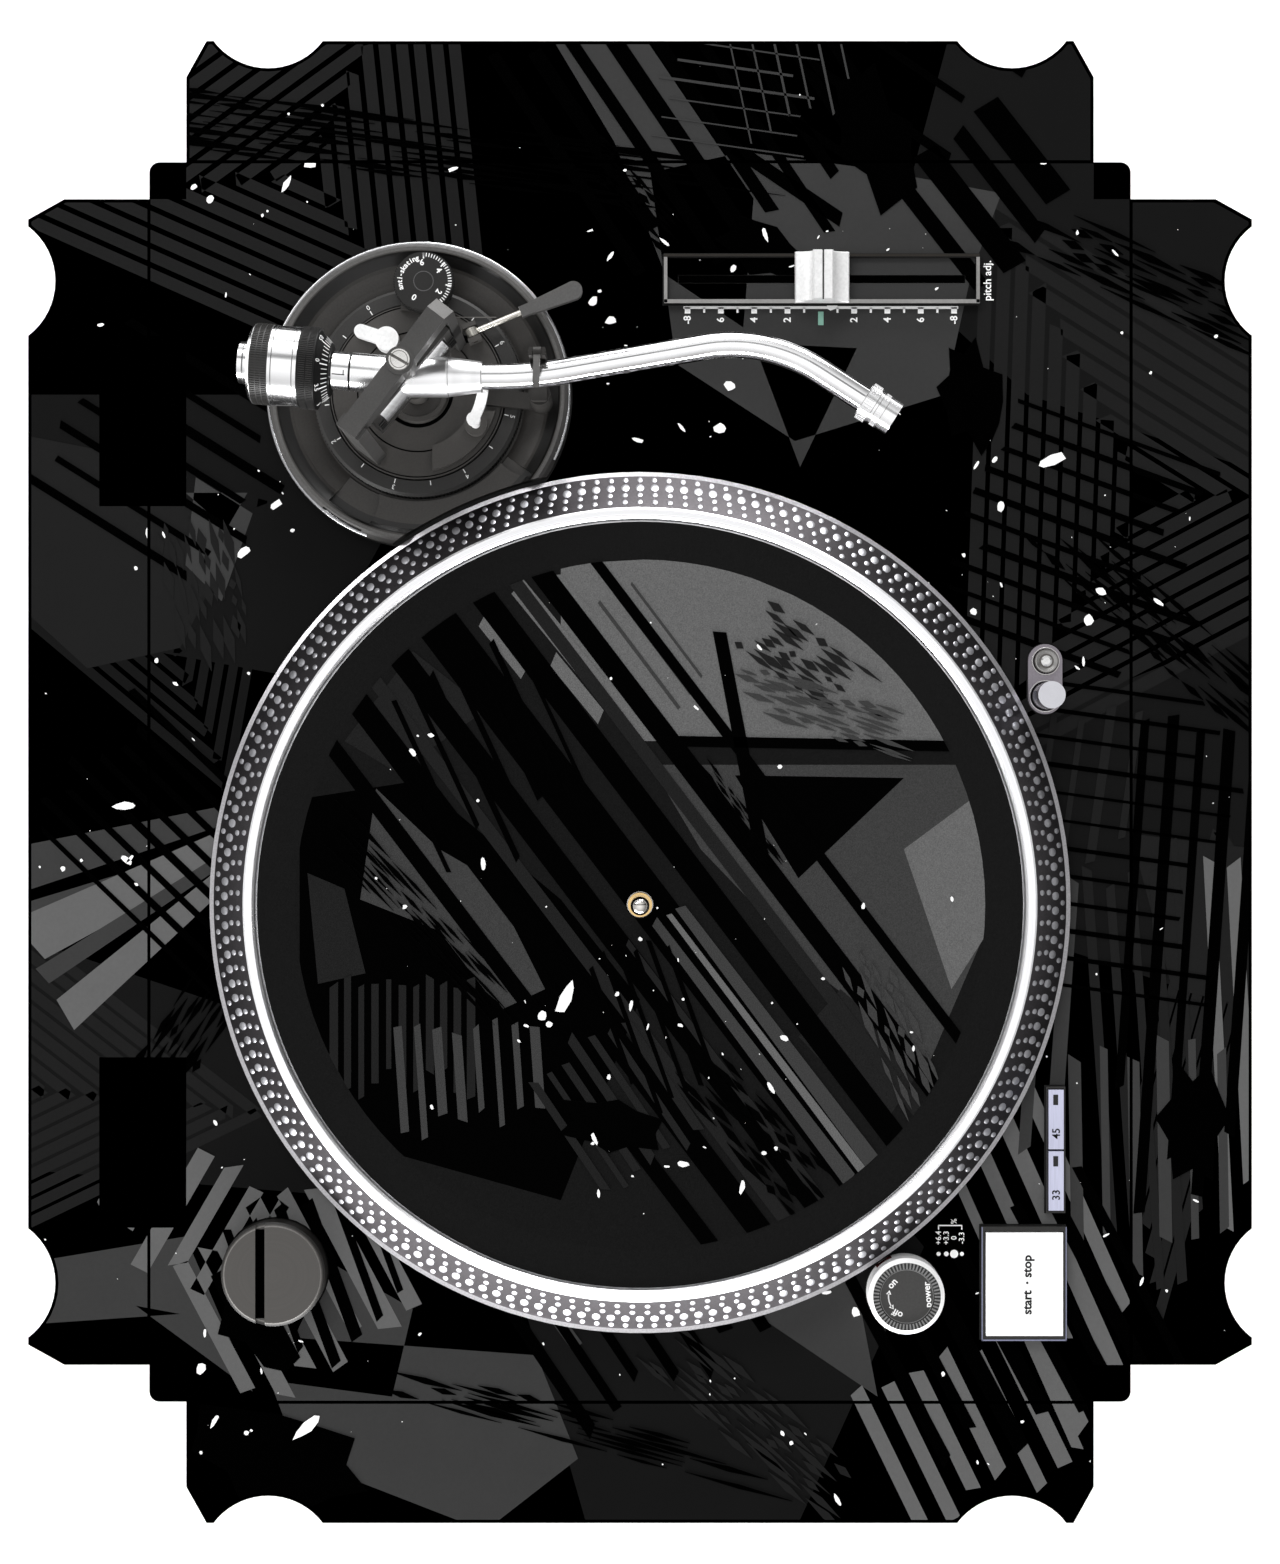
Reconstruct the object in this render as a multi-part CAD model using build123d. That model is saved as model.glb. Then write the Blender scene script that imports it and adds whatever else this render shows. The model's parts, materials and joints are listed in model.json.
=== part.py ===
"""Direct-drive turntable with an S-shaped tonearm and a folding vinyl skin.

Millimetres, +Z up. Front is -Y, right is +X. The origin is the centre of the
footprint, on the surface that the feet stand on. One STEP file per sub-part.
"""
from build123d import *
import math
import os

# ---- driving dimensions -------------------------------------------------
PLINTH_X = 480.0            # cabinet length, left to right
PLINTH_Y = 380.0            # cabinet depth, front to back
DECK_Z = 100.0              # top face of the cabinet
CABINET_Z = 50.0            # underside of the cabinet
BASE_Z = 20.0               # underside of the rubber base
WALL = 8.0                  # cabinet and base wall
DECK_THICK = 5.0            # cabinet top
CORNER_R = 4.0              # cabinet corner radius

SKIN_THICK = 0.3            # vinyl skin
FLAP_DEPTH = 46.6           # how far a flap reaches from its fold
FLAP_INSET = 14.3           # flap end to cabinet corner
FOLD_GAP = 0.35             # fold line to cabinet edge

SPINDLE = (-46.5, 0.0)      # platter axis
PLATTER_R = 166.0           # platter lip
LAND_R = 149.9              # outer edge of the platter's top land
MAT_R = 145.2               # slipmat
PLATTER_LIP_Z = DECK_Z + 1.5
PLATTER_TOP_Z = DECK_Z + 19.2
MAT_SEAT_Z = DECK_Z + 15.2
WELL_R = 152.0              # well under the platter
SHAFT_R = 3.6               # motor shaft
RECORD_PIN_R = 3.55         # record spindle, above the collar

PIVOT = (149.5, 85.2)       # vertical tonearm axis
ARM_Z = DECK_Z + 40.0       # tonearm tube axis
ARM_BASE_R = 58.7
RING_R = 40.0               # height-adjusting ring
INNER_R = 33.4              # plate inside the ring
TUBE_R = 4.75
TILT_DEG = -40.0            # direction of the tilt axis, in plan
BRIDGE_DEG = -37.0          # direction of the fixed bridge, in plan
REAR_DEG = 85.0             # direction of the counterweight shaft, in plan
RUNNING = 0.06              # radial clearance of shafts and pins

FOOT_X = 194.0
FOOT_Y = 144.0
ARCH_R = 26.5               # arch over each foot, in the front and rear walls
ARCH_Z = 37.0

FADER = (194.5, -70.2)      # pitch fader bezel centre
START_STOP = (-193.6, -148.2)
SPEED = (-142.1, -160.6)    # speed button frame centre
DIAL = (-197.1, -102.2)     # power dial
LIGHT = (33.2, -156.7)      # pop-up target light
LIGHT_KEY = (46.7, -156.9)  # its release button
ADAPTOR = (-189.1, 141.0)   # large-hole record adaptor
SLOT_SHIFT = 4.8            # its slot stands off its middle

parts = {}


# ---- small building blocks ----------------------------------------------
def block(x, y, size_x, size_y, low, high, corner=0.0):
    """Upright block centred on x, y, with rounded vertical edges if asked."""
    if corner > 0:
        outline = RectangleRounded(size_x, size_y, corner)
    else:
        outline = Rectangle(size_x, size_y)
    return extrude(Pos(x, y, low) * outline, high - low)


def drum(x, y, low, high, radius):
    """Upright cylinder."""
    return Pos(x, y, (low + high) / 2) * Cylinder(radius, high - low)


def ring(x, y, low, high, outer, inner):
    """Upright ring."""
    return drum(x, y, low, high, outer) - drum(x, y, low - 1, high + 1, inner)


def turned(x, y, profile):
    """Solid of revolution about the upright line through x, y."""
    face = Plane.XZ * make_face(Polyline(*profile, close=True))
    return Pos(x, y, 0) * revolve(face, Axis.Z, 360)


def polar(centre, radius, degrees):
    """Point at a radius and a plan direction from a centre."""
    turn = math.radians(degrees)
    return centre[0] + radius * math.cos(turn), centre[1] + radius * math.sin(turn)


def rod(centre, degrees, near, far, radius, height=ARM_Z, tip=None):
    """Level cylinder, or cone with a tip radius, along a plan direction."""
    x, y = polar(centre, (near + far) / 2, degrees)
    if tip is None:
        shape = Cylinder(radius, far - near)
    else:
        shape = Cone(radius, tip, far - near)
    return Pos(x, y, height) * Rot(0, 0, degrees) * Rot(0, 90, 0) * shape


def bar(centre, degrees, near, far, width, low, high):
    """Level rectangular bar along a plan direction."""
    x, y = polar(centre, (near + far) / 2, degrees)
    return Pos(x, y, (low + high) / 2) * Rot(0, 0, degrees) * Box(far - near, width, high - low)


def corners(half_x, half_y):
    """The four places at plus and minus half_x, half_y."""
    return [(sx * half_x, sy * half_y) for sx in (-1, 1) for sy in (-1, 1)]


# ---- cabinet, base and feet ---------------------------------------------
def arches(length_in, length_out, radius):
    """Level cylinders over the feet, at the front and the rear wall."""
    middle = (length_in + length_out) / 2
    made = []
    for x, y in corners(FOOT_X, middle):
        made.append(Pos(x, y, ARCH_Z) * Rot(90, 0, 0) * Cylinder(radius, length_out - length_in))
    return made


def deck_openings():
    """Holes through the deck for the controls and the tonearm."""
    low = DECK_Z - DECK_THICK - 1
    high = DECK_Z + 1
    return [
        drum(*SPINDLE, low, high, WELL_R),
        drum(*PIVOT, low, high, 16.2),
        drum(*DIAL, low, high, 6.0),
        drum(*LIGHT, low, high, 5.8),
        drum(*LIGHT_KEY, low, high, 4.9),
        drum(*ADAPTOR, low, high, 20.6),
        block(*FADER, 12, 116, low, high),
        block(*START_STOP, 41, 31, low, high),
        block(*SPEED, 47.8, 6.4, low, high),
    ]


SCREW_X = 221.0
SCREW_Y = 171.0


def make_cabinet():
    """Cast cabinet: deck, walls, platter well and screw bosses."""
    shell = block(0, 0, PLINTH_X, PLINTH_Y, CABINET_Z, DECK_Z, CORNER_R)
    inside_x = PLINTH_X - 2 * WALL
    inside_y = PLINTH_Y - 2 * WALL
    shell -= block(0, 0, inside_x, inside_y, CABINET_Z - 1, DECK_Z - DECK_THICK)
    for x, y in corners(SCREW_X, SCREW_Y):
        shell += drum(x, y, CABINET_Z, DECK_Z - 2, 6)
        shell -= drum(x, y, CABINET_Z - 1, CABINET_Z + 14, 1.6)
    for cut in deck_openings():
        shell -= cut
    pan = drum(*SPINDLE, 86, DECK_Z - 2, WELL_R + 3) - drum(*SPINDLE, 89, DECK_Z, WELL_R)
    shell += pan
    shell += drum(*ADAPTOR, DECK_Z - 7, DECK_Z - 2, 23)
    shell -= drum(*ADAPTOR, DECK_Z - 3, DECK_Z + 1, 20.6)
    shell -= drum(*SPINDLE, 80, 95, 10)
    for cut in arches(PLINTH_Y / 2 - WALL - 1, PLINTH_Y / 2 + 1, ARCH_R):
        shell -= cut
    return shell


BOARD = (60.0, -60.0)       # main circuit board, on posts above the tray
BOARD_X = 170.0
BOARD_Y = 110.0
INLET_X = -45.0
SOCKET_Z = 36.0
REAR_Y = PLINTH_Y / 2 - 3.0     # rear face of the base


def make_base():
    """Rubber base: tray, arched humps over the feet and bosses."""
    tray = block(0, 0, PLINTH_X - 6, PLINTH_Y - 6, BASE_Z, CABINET_Z, 6)
    inside_x = PLINTH_X - 6 - 2 * WALL
    inside_y = PLINTH_Y - 6 - 2 * WALL
    tray -= block(0, 0, inside_x, inside_y, BASE_Z + 4, CABINET_Z + 1)
    for hump in arches(PLINTH_Y / 2 - WALL - 5, PLINTH_Y / 2, ARCH_R - 0.3):
        tray += hump & block(0, 0, PLINTH_X, PLINTH_Y + 10, BASE_Z, CABINET_Z + 20)
    for x, y in corners(SCREW_X, SCREW_Y):
        tray += drum(x, y, BASE_Z, CABINET_Z, 6)
        tray -= drum(x, y, BASE_Z - 1, BASE_Z + 6, 4)
        tray -= drum(x, y, BASE_Z, CABINET_Z + 1, 2.0)
    for x, y in corners(FOOT_X, FOOT_Y):
        tray += drum(x, y, BASE_Z, CABINET_Z - 4, 9)
        tray -= drum(x, y, BASE_Z - 1, CABINET_Z, 3.1)
    for sx in (-1, 1):
        for sy in (-1, 1):
            x = BOARD[0] + sx * (BOARD_X / 2 - 8)
            y = BOARD[1] + sy * (BOARD_Y / 2 - 8)
            tray += drum(x, y, BASE_Z, 60, 3)
    tray -= block(INLET_X, REAR_Y - 5, 27.0, 20, SOCKET_Z - 10, SOCKET_Z + 10)
    return tray


def group(shapes):
    """Separate solids kept in one node."""
    return Compound(children=[shape for shape in shapes])


parts["cabinet"] = make_cabinet()
parts["base_tray"] = make_base()
feet = corners(FOOT_X, FOOT_Y)
parts["foot_pads"] = group([drum(x, y, 0, 4, 19) for x, y in feet])
parts["foot_shells"] = group([
    turned(x, y, [(3.1, 4), (21, 4), (23.5, 7), (23.5, 19.6), (3.1, 19.6)])
    for x, y in feet
])
studs = [drum(x, y, 4, CABINET_Z - 6, 3.0) for x, y in feet]
screws = [
    drum(x, y, BASE_Z + 3, BASE_Z + 6, 3.6) + drum(x, y, BASE_Z + 6, CABINET_Z + 12, 1.55)
    for x, y in corners(SCREW_X, SCREW_Y)
]
parts["base_fasteners"] = group(studs + screws)


# ---- vinyl skin: top sheet and four folding flaps ------------------------
SKIN_TOP_Z = DECK_Z + SKIN_THICK
FLAP_CHAMFER_ALONG = 7.8    # outer corner chamfer, along the flap
FLAP_CHAMFER_OUT = 14.0     # the same, across the flap
NOTCH_BELOW = 16.0          # notch arc centre beyond the flap's outer edge


def make_skin_top():
    """Top sheet with a hole for everything that stands on the deck."""
    low = DECK_Z - 1
    high = DECK_Z + 1
    sheet = block(0, 0, PLINTH_X, PLINTH_Y, DECK_Z, SKIN_TOP_Z, CORNER_R)
    sheet -= drum(*SPINDLE, low, high, WELL_R + 0.5)
    sheet -= drum(*PIVOT, low, high, ARM_BASE_R + 0.4)
    sheet -= drum(*DIAL, low, high, 15.0)
    sheet -= drum(*ADAPTOR, low, high, 20.6)
    sheet -= block(*FADER, 20.0, 123.0, low, high)
    sheet -= block(*START_STOP, 44.9, 33.7, low, high)
    sheet -= block(*SPEED, 49.6, 8.2, low, high)
    sheet -= block(39.8, LIGHT[1], 27.8, 14.0, low, high, 6.9)
    return sheet


def flap_outline(length):
    """Flap drawn along +Y from its fold at y = 0, centred on x = 0."""
    half = length / 2
    points = [
        (-half, 0),
        (half, 0),
        (half, FLAP_DEPTH - FLAP_CHAMFER_OUT),
        (half - FLAP_CHAMFER_ALONG, FLAP_DEPTH),
        (-half + FLAP_CHAMFER_ALONG, FLAP_DEPTH),
        (-half, FLAP_DEPTH - FLAP_CHAMFER_OUT),
    ]
    return make_face(Polyline(*points, close=True))


def make_flap(degrees, length, reach, notch_at):
    """Flap lying level, turned to its side of the cabinet, with two notches."""
    sheet = flap_outline(length)
    for side in (-1, 1):
        sheet -= Pos(side * notch_at, FLAP_DEPTH + NOTCH_BELOW) * Circle(ARCH_R)
    solid = extrude(sheet, SKIN_THICK)
    return Rot(0, 0, degrees) * Pos(0, reach + FOLD_GAP, DECK_Z) * solid


LONG_FLAP = PLINTH_X - 2 * FLAP_INSET
SHORT_FLAP = PLINTH_Y - 2 * FLAP_INSET
parts["skin_top"] = make_skin_top()
parts["skin_flap_rear"] = make_flap(0, LONG_FLAP, PLINTH_Y / 2, FOOT_X)
parts["skin_flap_left"] = make_flap(90, SHORT_FLAP, PLINTH_X / 2, FOOT_Y)
parts["skin_flap_front"] = make_flap(180, LONG_FLAP, PLINTH_Y / 2, FOOT_X)
parts["skin_flap_right"] = make_flap(270, SHORT_FLAP, PLINTH_X / 2, FOOT_Y)


# ---- platter, slipmat and motor -------------------------------------------
def make_platter():
    """Cast platter: lip, sloping dotted rim, top land, mat seat and hub."""
    lip = PLATTER_LIP_Z
    top = PLATTER_TOP_Z
    seat = MAT_SEAT_Z
    return turned(*SPINDLE, [
        (SHAFT_R, seat),
        (MAT_R + 0.8, seat),
        (MAT_R + 0.8, top - 1.2),
        (MAT_R + 2.0, top),
        (LAND_R, top),
        (LAND_R + 0.7, top - 0.6),
        (PLATTER_R - 1.7, lip + 3.1),
        (PLATTER_R, lip + 2.5),
        (PLATTER_R, lip),
        (PLATTER_R - 6, lip),
        (PLATTER_R - 18, seat - 3.2),
        (20, seat - 3.2),
        (12, seat - 5),
        (12, DECK_Z - 3.5),
        (SHAFT_R, DECK_Z - 3.5),
    ])


SPINDLE_TOP = DECK_Z + 31.0
SPINDLE_FOOT = 62.0
NECK = 0.5                      # groove between the collar and the record pin


def make_spindle():
    """Record spindle with a domed top, carried on below as the motor shaft."""
    collar_top = PLATTER_TOP_Z + 0.3
    shaft = drum(*SPINDLE, SPINDLE_FOOT, collar_top, SHAFT_R)
    shaft += drum(*SPINDLE, collar_top, collar_top + NECK, RECORD_PIN_R - 0.7)
    shaft += drum(*SPINDLE, collar_top + NECK, SPINDLE_TOP - RECORD_PIN_R, RECORD_PIN_R)
    return shaft + Pos(*SPINDLE, SPINDLE_TOP - RECORD_PIN_R) * Sphere(RECORD_PIN_R)


def make_stator():
    """Stator yoke with a ring of wound poles."""
    body = ring(*SPINDLE, 90.6, 96, 22, 13)
    for step in range(12):
        body += bar(SPINDLE, step * 30, 21, 36, 6, 90.6, 96)
    return body


def make_bearing():
    """Bearing housing with its own thrust floor, flanged to the well."""
    outer = ring(*SPINDLE, SPINDLE_FOOT - 2, 95.5, 9.5, SHAFT_R + RUNNING)
    outer += ring(*SPINDLE, 82, 86, 20, 9)
    return outer + drum(*SPINDLE, SPINDLE_FOOT - 2, SPINDLE_FOOT - 0.5, 9.5)


parts["platter"] = make_platter()
parts["slipmat"] = ring(*SPINDLE, MAT_SEAT_Z + 0.3, PLATTER_TOP_Z - 0.6, MAT_R, 5.0)
parts["spindle"] = make_spindle()
parts["spindle_collar"] = ring(*SPINDLE, MAT_SEAT_Z, PLATTER_TOP_Z + 0.3, 4.6, SHAFT_R)
parts["rotor_magnet"] = ring(*SPINDLE, DECK_Z - 4, MAT_SEAT_Z - 3.2, 48, 40)
parts["motor_stator"] = make_stator()
parts["circuit_boards"] = group([
    ring(*SPINDLE, 89, 90.6, 62, 11),
    block(*BOARD, BOARD_X, BOARD_Y, 60, 61.6),
])
parts["spindle_bearing"] = make_bearing()


# ---- deck controls ----------------------------------------------------------
def make_fader_bezel():
    """Trough with a raised rim and a narrow slot."""
    bezel = block(*FADER, 19.2, 122.2, DECK_Z, DECK_Z + 3)
    bezel -= block(*FADER, 16.4, 119.4, DECK_Z + 1.3, DECK_Z + 4)
    return bezel - block(*FADER, 3.0, 111, DECK_Z - 1, DECK_Z + 4)


def make_fader_knob():
    """Cap with a raised grooved ridge, and the stem through the slot."""
    low = DECK_Z + 3.4
    cap = block(*FADER, 19.5, 21.0, low, low + 4.0, 1.0)
    cap += block(*FADER, 19.5, 7.7, low + 4.0, low + 7.6)
    cap -= block(*FADER, 20.5, 1.0, low + 6.8, low + 8)
    return cap + block(*FADER, 2.0, 6.0, 90, low)


def make_fader_pot():
    """Slide potentiometer under the deck, with a channel for the stem."""
    pot = block(*FADER, 10, 126, 82, DECK_Z - DECK_THICK)
    return pot - block(*FADER, 3.4, 116, 88, DECK_Z)


def make_start_stop_frame():
    frame = block(*START_STOP, 44.1, 32.9, DECK_Z, DECK_Z + 3.5)
    return frame - block(*START_STOP, 40.5, 30.4, DECK_Z - 1, DECK_Z + 4)


def make_start_stop_button():
    cap = block(*START_STOP, 39.7, 29.6, DECK_Z - 1, DECK_Z + 4.6)
    return cap + drum(*START_STOP, DECK_Z - 1.2, DECK_Z - 1, 3)


def make_speed_frame():
    frame = block(*SPEED, 48.8, 7.4, DECK_Z, DECK_Z + 2.5)
    return frame - block(*SPEED, 47.4, 6.4, DECK_Z - 1, DECK_Z + 4)


def speed_button(offset):
    """Narrow speed key, offset left or right in its frame."""
    return block(SPEED[0] + offset, SPEED[1], 22.9, 5.8, DECK_Z - 1, DECK_Z + 3.4)


LAMP_DEG = math.degrees(math.atan2(SPINDLE[1] - DIAL[1], SPINDLE[0] - DIAL[0]))


def make_dial_base():
    """Fixed collar of the power dial, with a pocket for the strobe lamp."""
    collar = ring(*DIAL, DECK_Z, DECK_Z + 5, 14.6, 5.9)
    return collar - bar(DIAL, LAMP_DEG, 9.5, 16, 7, DECK_Z + 1.2, DECK_Z + 4.2)


def make_power_dial():
    """Rotary switch cap, with its stem down to the switch."""
    cap = turned(*DIAL, [
        (0, DECK_Z + 5.4),
        (14.6, DECK_Z + 5.4),
        (14.6, DECK_Z + 8.9),
        (12.9, DECK_Z + 10.0),
        (10.6, DECK_Z + 10.0),
        (10.2, DECK_Z + 9.5),
        (0, DECK_Z + 9.5),
    ])
    return cap + drum(*DIAL, 92, DECK_Z + 5.4, 5.0)


def make_light_plate():
    plate = block(39.8, LIGHT[1], 27.0, 13.2, DECK_Z, DECK_Z + 1.6, 6.5)
    plate -= drum(*LIGHT, DECK_Z - 1, DECK_Z + 3, 5.7)
    return plate - drum(*LIGHT_KEY, DECK_Z - 1, DECK_Z + 3, 4.9)


def make_target_light():
    """Pop-up cylinder, shown raised, with a lamp window near its top."""
    tower = drum(*LIGHT, 82, DECK_Z + 15.5, 5.2)
    return tower - block(LIGHT[0], LIGHT[1] + 4.6, 3.6, 3, DECK_Z + 4.5, DECK_Z + 11.5)


def make_adaptor():
    """Puck for large-hole records: spindle bore below, off-centre slot on top."""
    low = DECK_Z - 2.4
    high = low + 11
    puck = turned(*ADAPTOR, [
        (3.7, low),
        (19.4, low),
        (20.0, low + 1),
        (20.0, high - 1.5),
        (18.5, high),
        (3.7, high),
    ])
    puck += drum(*ADAPTOR, high - 3, high, 6)
    return puck - block(ADAPTOR[0], ADAPTOR[1] + SLOT_SHIFT, 42, 3.6, high - 2.4, high + 1)


KEY_OFFSET = 11.85
parts["fader_bezel"] = make_fader_bezel()
parts["pitch_fader"] = make_fader_knob()
parts["fader_potentiometer"] = make_fader_pot()
parts["key_frames"] = group([make_start_stop_frame(), make_speed_frame()])
parts["start_stop_button"] = make_start_stop_button()
parts["key_switches"] = group([
    block(*START_STOP, 12, 12, 90, DECK_Z - 2.6),
    block(SPEED[0] - KEY_OFFSET, SPEED[1], 7, 6, 90, DECK_Z - 2.4),
    block(SPEED[0] + KEY_OFFSET, SPEED[1], 7, 6, 90, DECK_Z - 2.4),
])
parts["speed_key_33"] = speed_button(-KEY_OFFSET)
parts["speed_key_45"] = speed_button(KEY_OFFSET)
parts["dial_base"] = make_dial_base()
parts["power_dial"] = make_power_dial()
parts["power_switch"] = block(*DIAL, 22, 22, 78, 91.6)
parts["strobe_lamp"] = bar(DIAL, LAMP_DEG, 9.5, 14.7, 6.9, DECK_Z + 1.2, DECK_Z + 4.2)
parts["light_plate"] = make_light_plate()
parts["target_light"] = make_target_light()
parts["light_key"] = drum(*LIGHT_KEY, DECK_Z - 6, DECK_Z + 3.0, 4.6)
parts["adaptor_45"] = make_adaptor()


# ---- rear sockets and power supply ------------------------------------------
PANEL_Y = REAR_Y + 2.0          # outer face of the socket panel
SIGNAL_X = (20.0, 36.0)
GROUND_X = 52.0
SOCKET_R = 4.15


def rearward(x, near, far, radius):
    """Level cylinder at the sockets' height, along Y."""
    place = Pos(x, (near + far) / 2, SOCKET_Z) * Rot(90, 0, 0)
    return place * Cylinder(radius, far - near)


def make_rear_panel():
    panel = block(0, REAR_Y + 1, 140, 2, BASE_Z + 4, CABINET_Z - 2)
    return panel - block(INLET_X, REAR_Y, 27.0, 20, SOCKET_Z - 10, SOCKET_Z + 10)


def make_signal_sockets():
    """Two coaxial signal sockets and a ground screw."""
    made = []
    for x in SIGNAL_X:
        socket = rearward(x, PANEL_Y, PANEL_Y + 9, SOCKET_R) + rearward(x, PANEL_Y, PANEL_Y + 1, 6)
        made.append(socket - rearward(x, PANEL_Y + 1, PANEL_Y + 10, 1.7))
    made.append(rearward(GROUND_X, PANEL_Y, PANEL_Y + 6, 4.5))
    return group(made)


def make_power_inlet():
    """Appliance inlet: an open box with three blades."""
    body = block(INLET_X, PANEL_Y - 8, 27.0, 18, SOCKET_Z - 10, SOCKET_Z + 10)
    body -= block(INLET_X, PANEL_Y - 6, 22.6, 16, SOCKET_Z - 7.3, SOCKET_Z + 7.3)
    for offset, lift in ((-7, -2), (0, 2), (7, -2)):
        middle = SOCKET_Z + lift
        body += block(INLET_X + offset, PANEL_Y - 11, 2, 8, middle - 2, middle + 2)
    return body


parts["rear_panel"] = make_rear_panel()
parts["signal_sockets"] = make_signal_sockets()
parts["power_inlet"] = make_power_inlet()
parts["transformer"] = block(-150, 60, 62, 52, BASE_Z + 4, 66, 3)


# ---- tonearm: base, height ring and column ------------------------------------
KNOB = (190.0, 82.1)            # anti-skate knob
LOCK = (168.6, 96.4)            # lock lever boss
LOCK_DEG = 71.6
CUE = (171.4, 64.0)             # cue lever hinge
CUE_Z = DECK_Z + 13.0
CUE_DEG = -67.6
LIFT_DEG = -120.6               # lifter post, seen from the pivot
LIFT_R = 26.5
REST_DEG = -95.4                # arm rest, seen from the pivot
REST_R = 47.8
PLATE_Z = DECK_Z + 9.6          # top of the column plate
COLUMN_R = 11.95
CHEEK_IN = 18.2                 # gimbal cheeks, from the pivot
CHEEK_OUT = 21.4
PIN_R = 1.2


LAND_FROM = 140                 # the dish's flat land, by its two plan angles
LAND_TO = 235
SCOOPS = [(132.7, 42.2), (109.3, 115.4)]


def make_arm_base():
    """Dished base plate with a scooped land, cut back round the platter."""
    dish = turned(*PIVOT, [
        (16.3, DECK_Z),
        (ARM_BASE_R, DECK_Z),
        (ARM_BASE_R, DECK_Z + 4.0),
        (ARM_BASE_R - 2.5, DECK_Z + 7.4),
        (ARM_BASE_R - 4.1, DECK_Z + 7.4),
        (ARM_BASE_R - 4.9, DECK_Z + 6.6),
        (49, DECK_Z + 3.6),
        (44, DECK_Z + 1.9),
        (RING_R + 0.9, DECK_Z + 1.0),
        (16.3, DECK_Z + 1.0),
    ])
    middle = (LAND_FROM + LAND_TO) / 2
    spokes = [polar(PIVOT, 90, degrees) for degrees in (LAND_FROM, middle, LAND_TO)]
    wedge = Pos(0, 0, DECK_Z) * extrude(make_face(Polyline(PIVOT, *spokes, close=True)), 9)
    dish += ring(*PIVOT, DECK_Z + 0.5, DECK_Z + 5.6, 55, RING_R + 1.5) & wedge
    for scoop in SCOOPS:
        dish -= drum(*scoop, DECK_Z + 2.4, DECK_Z + 6.5, 15) & wedge
    return dish - drum(*SPINDLE, DECK_Z - 1, DECK_Z + 10, PLATTER_R + 2.0)


def make_arm_guide():
    """Flanged tube under the deck that the column slides in."""
    guide = ring(*PIVOT, 80, DECK_Z + 1.0, 16.0, COLUMN_R + RUNNING)
    return guide + ring(*PIVOT, DECK_Z - 9, DECK_Z - 5, 24, 15.5)


def make_height_ring():
    low = DECK_Z + 1.3
    return turned(*PIVOT, [
        (INNER_R + 0.6, low),
        (RING_R, low),
        (RING_R, low + 6.1),
        (RING_R - 1.2, low + 7.3),
        (INNER_R + 0.6, low + 7.3),
    ])


def make_arm_column():
    """Sliding column with its plate, knob lobe, lifter housing and lower pivot."""
    column = turned(*PIVOT, [
        (6, 78),
        (COLUMN_R, 78),
        (COLUMN_R, DECK_Z + 1.3),
        (INNER_R, DECK_Z + 1.3),
        (INNER_R, PLATE_Z),
        (5, PLATE_Z),
        (5, DECK_Z + 21.5),
        (PIN_R, DECK_Z + 21.5),
        (PIN_R, DECK_Z + 26.5),
        (0, DECK_Z + 26.5),
        (0, DECK_Z + 4),
        (6, DECK_Z + 4),
    ])
    knob_deg = math.degrees(math.atan2(KNOB[1] - PIVOT[1], KNOB[0] - PIVOT[0]))
    column += bar(PIVOT, knob_deg, 30, 38.8, 17, PLATE_Z - 0.4, PLATE_Z + 3)
    column += drum(*KNOB, PLATE_Z, PLATE_Z + 3, 10)
    column -= drum(*KNOB, PLATE_Z - 1, PLATE_Z + 4, 2.5 + RUNNING)
    arc = ring(*PIVOT, PLATE_Z - 0.4, PLATE_Z + 4, 31, 22)
    quarter = block(PIVOT[0] - 24, PIVOT[1] - 24, 32, 36, PLATE_Z - 1, PLATE_Z + 5)
    column += arc & quarter
    post = polar(PIVOT, LIFT_R, LIFT_DEG)
    column += drum(*post, PLATE_Z, PLATE_Z + 7.4, 4.4)
    column -= drum(*post, DECK_Z + 2.5, PLATE_Z + 8, 1.8 + RUNNING)
    column -= drum(*LOCK, DECK_Z + 4, PLATE_Z + 1, 2.0 + RUNNING)
    for side in (-1, 1):
        ear = polar(CUE, side * 2.9, CUE_DEG + 90)
        column += bar(ear, CUE_DEG, -2.6, 2.6, 1.8, PLATE_Z - 0.4, CUE_Z + 2.4)
    return column - rod(CUE, CUE_DEG + 90, -5, 5, 1.0 + RUNNING, CUE_Z)


BRIDGE_LOW = DECK_Z + 63.0
BRIDGE_TOP = DECK_Z + 72.0


def make_arm_bridge():
    """Fixed bridge over the gimbal, on two uneven legs."""
    bridge = bar(PIVOT, BRIDGE_DEG, -31.5, 26.0, 7.5, BRIDGE_LOW, BRIDGE_TOP)
    bridge += bar(PIVOT, BRIDGE_DEG, 22.0, 26.0, 7.5, PLATE_Z, BRIDGE_TOP)
    bridge += bar(PIVOT, BRIDGE_DEG, -31.5, -26.5, 10, PLATE_Z, BRIDGE_TOP - 2)
    corner = Pos(*polar(PIVOT, 26.0, BRIDGE_DEG), BRIDGE_TOP) * Rot(0, 0, BRIDGE_DEG)
    bridge -= corner * Rot(0, 45, 0) * Box(6.8, 12, 6.8)
    bridge += drum(*PIVOT, BRIDGE_LOW - 2, BRIDGE_TOP + 0.6, 5.0)
    return bridge - drum(*PIVOT, BRIDGE_LOW - 3, BRIDGE_TOP + 1, 2.5)


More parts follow.
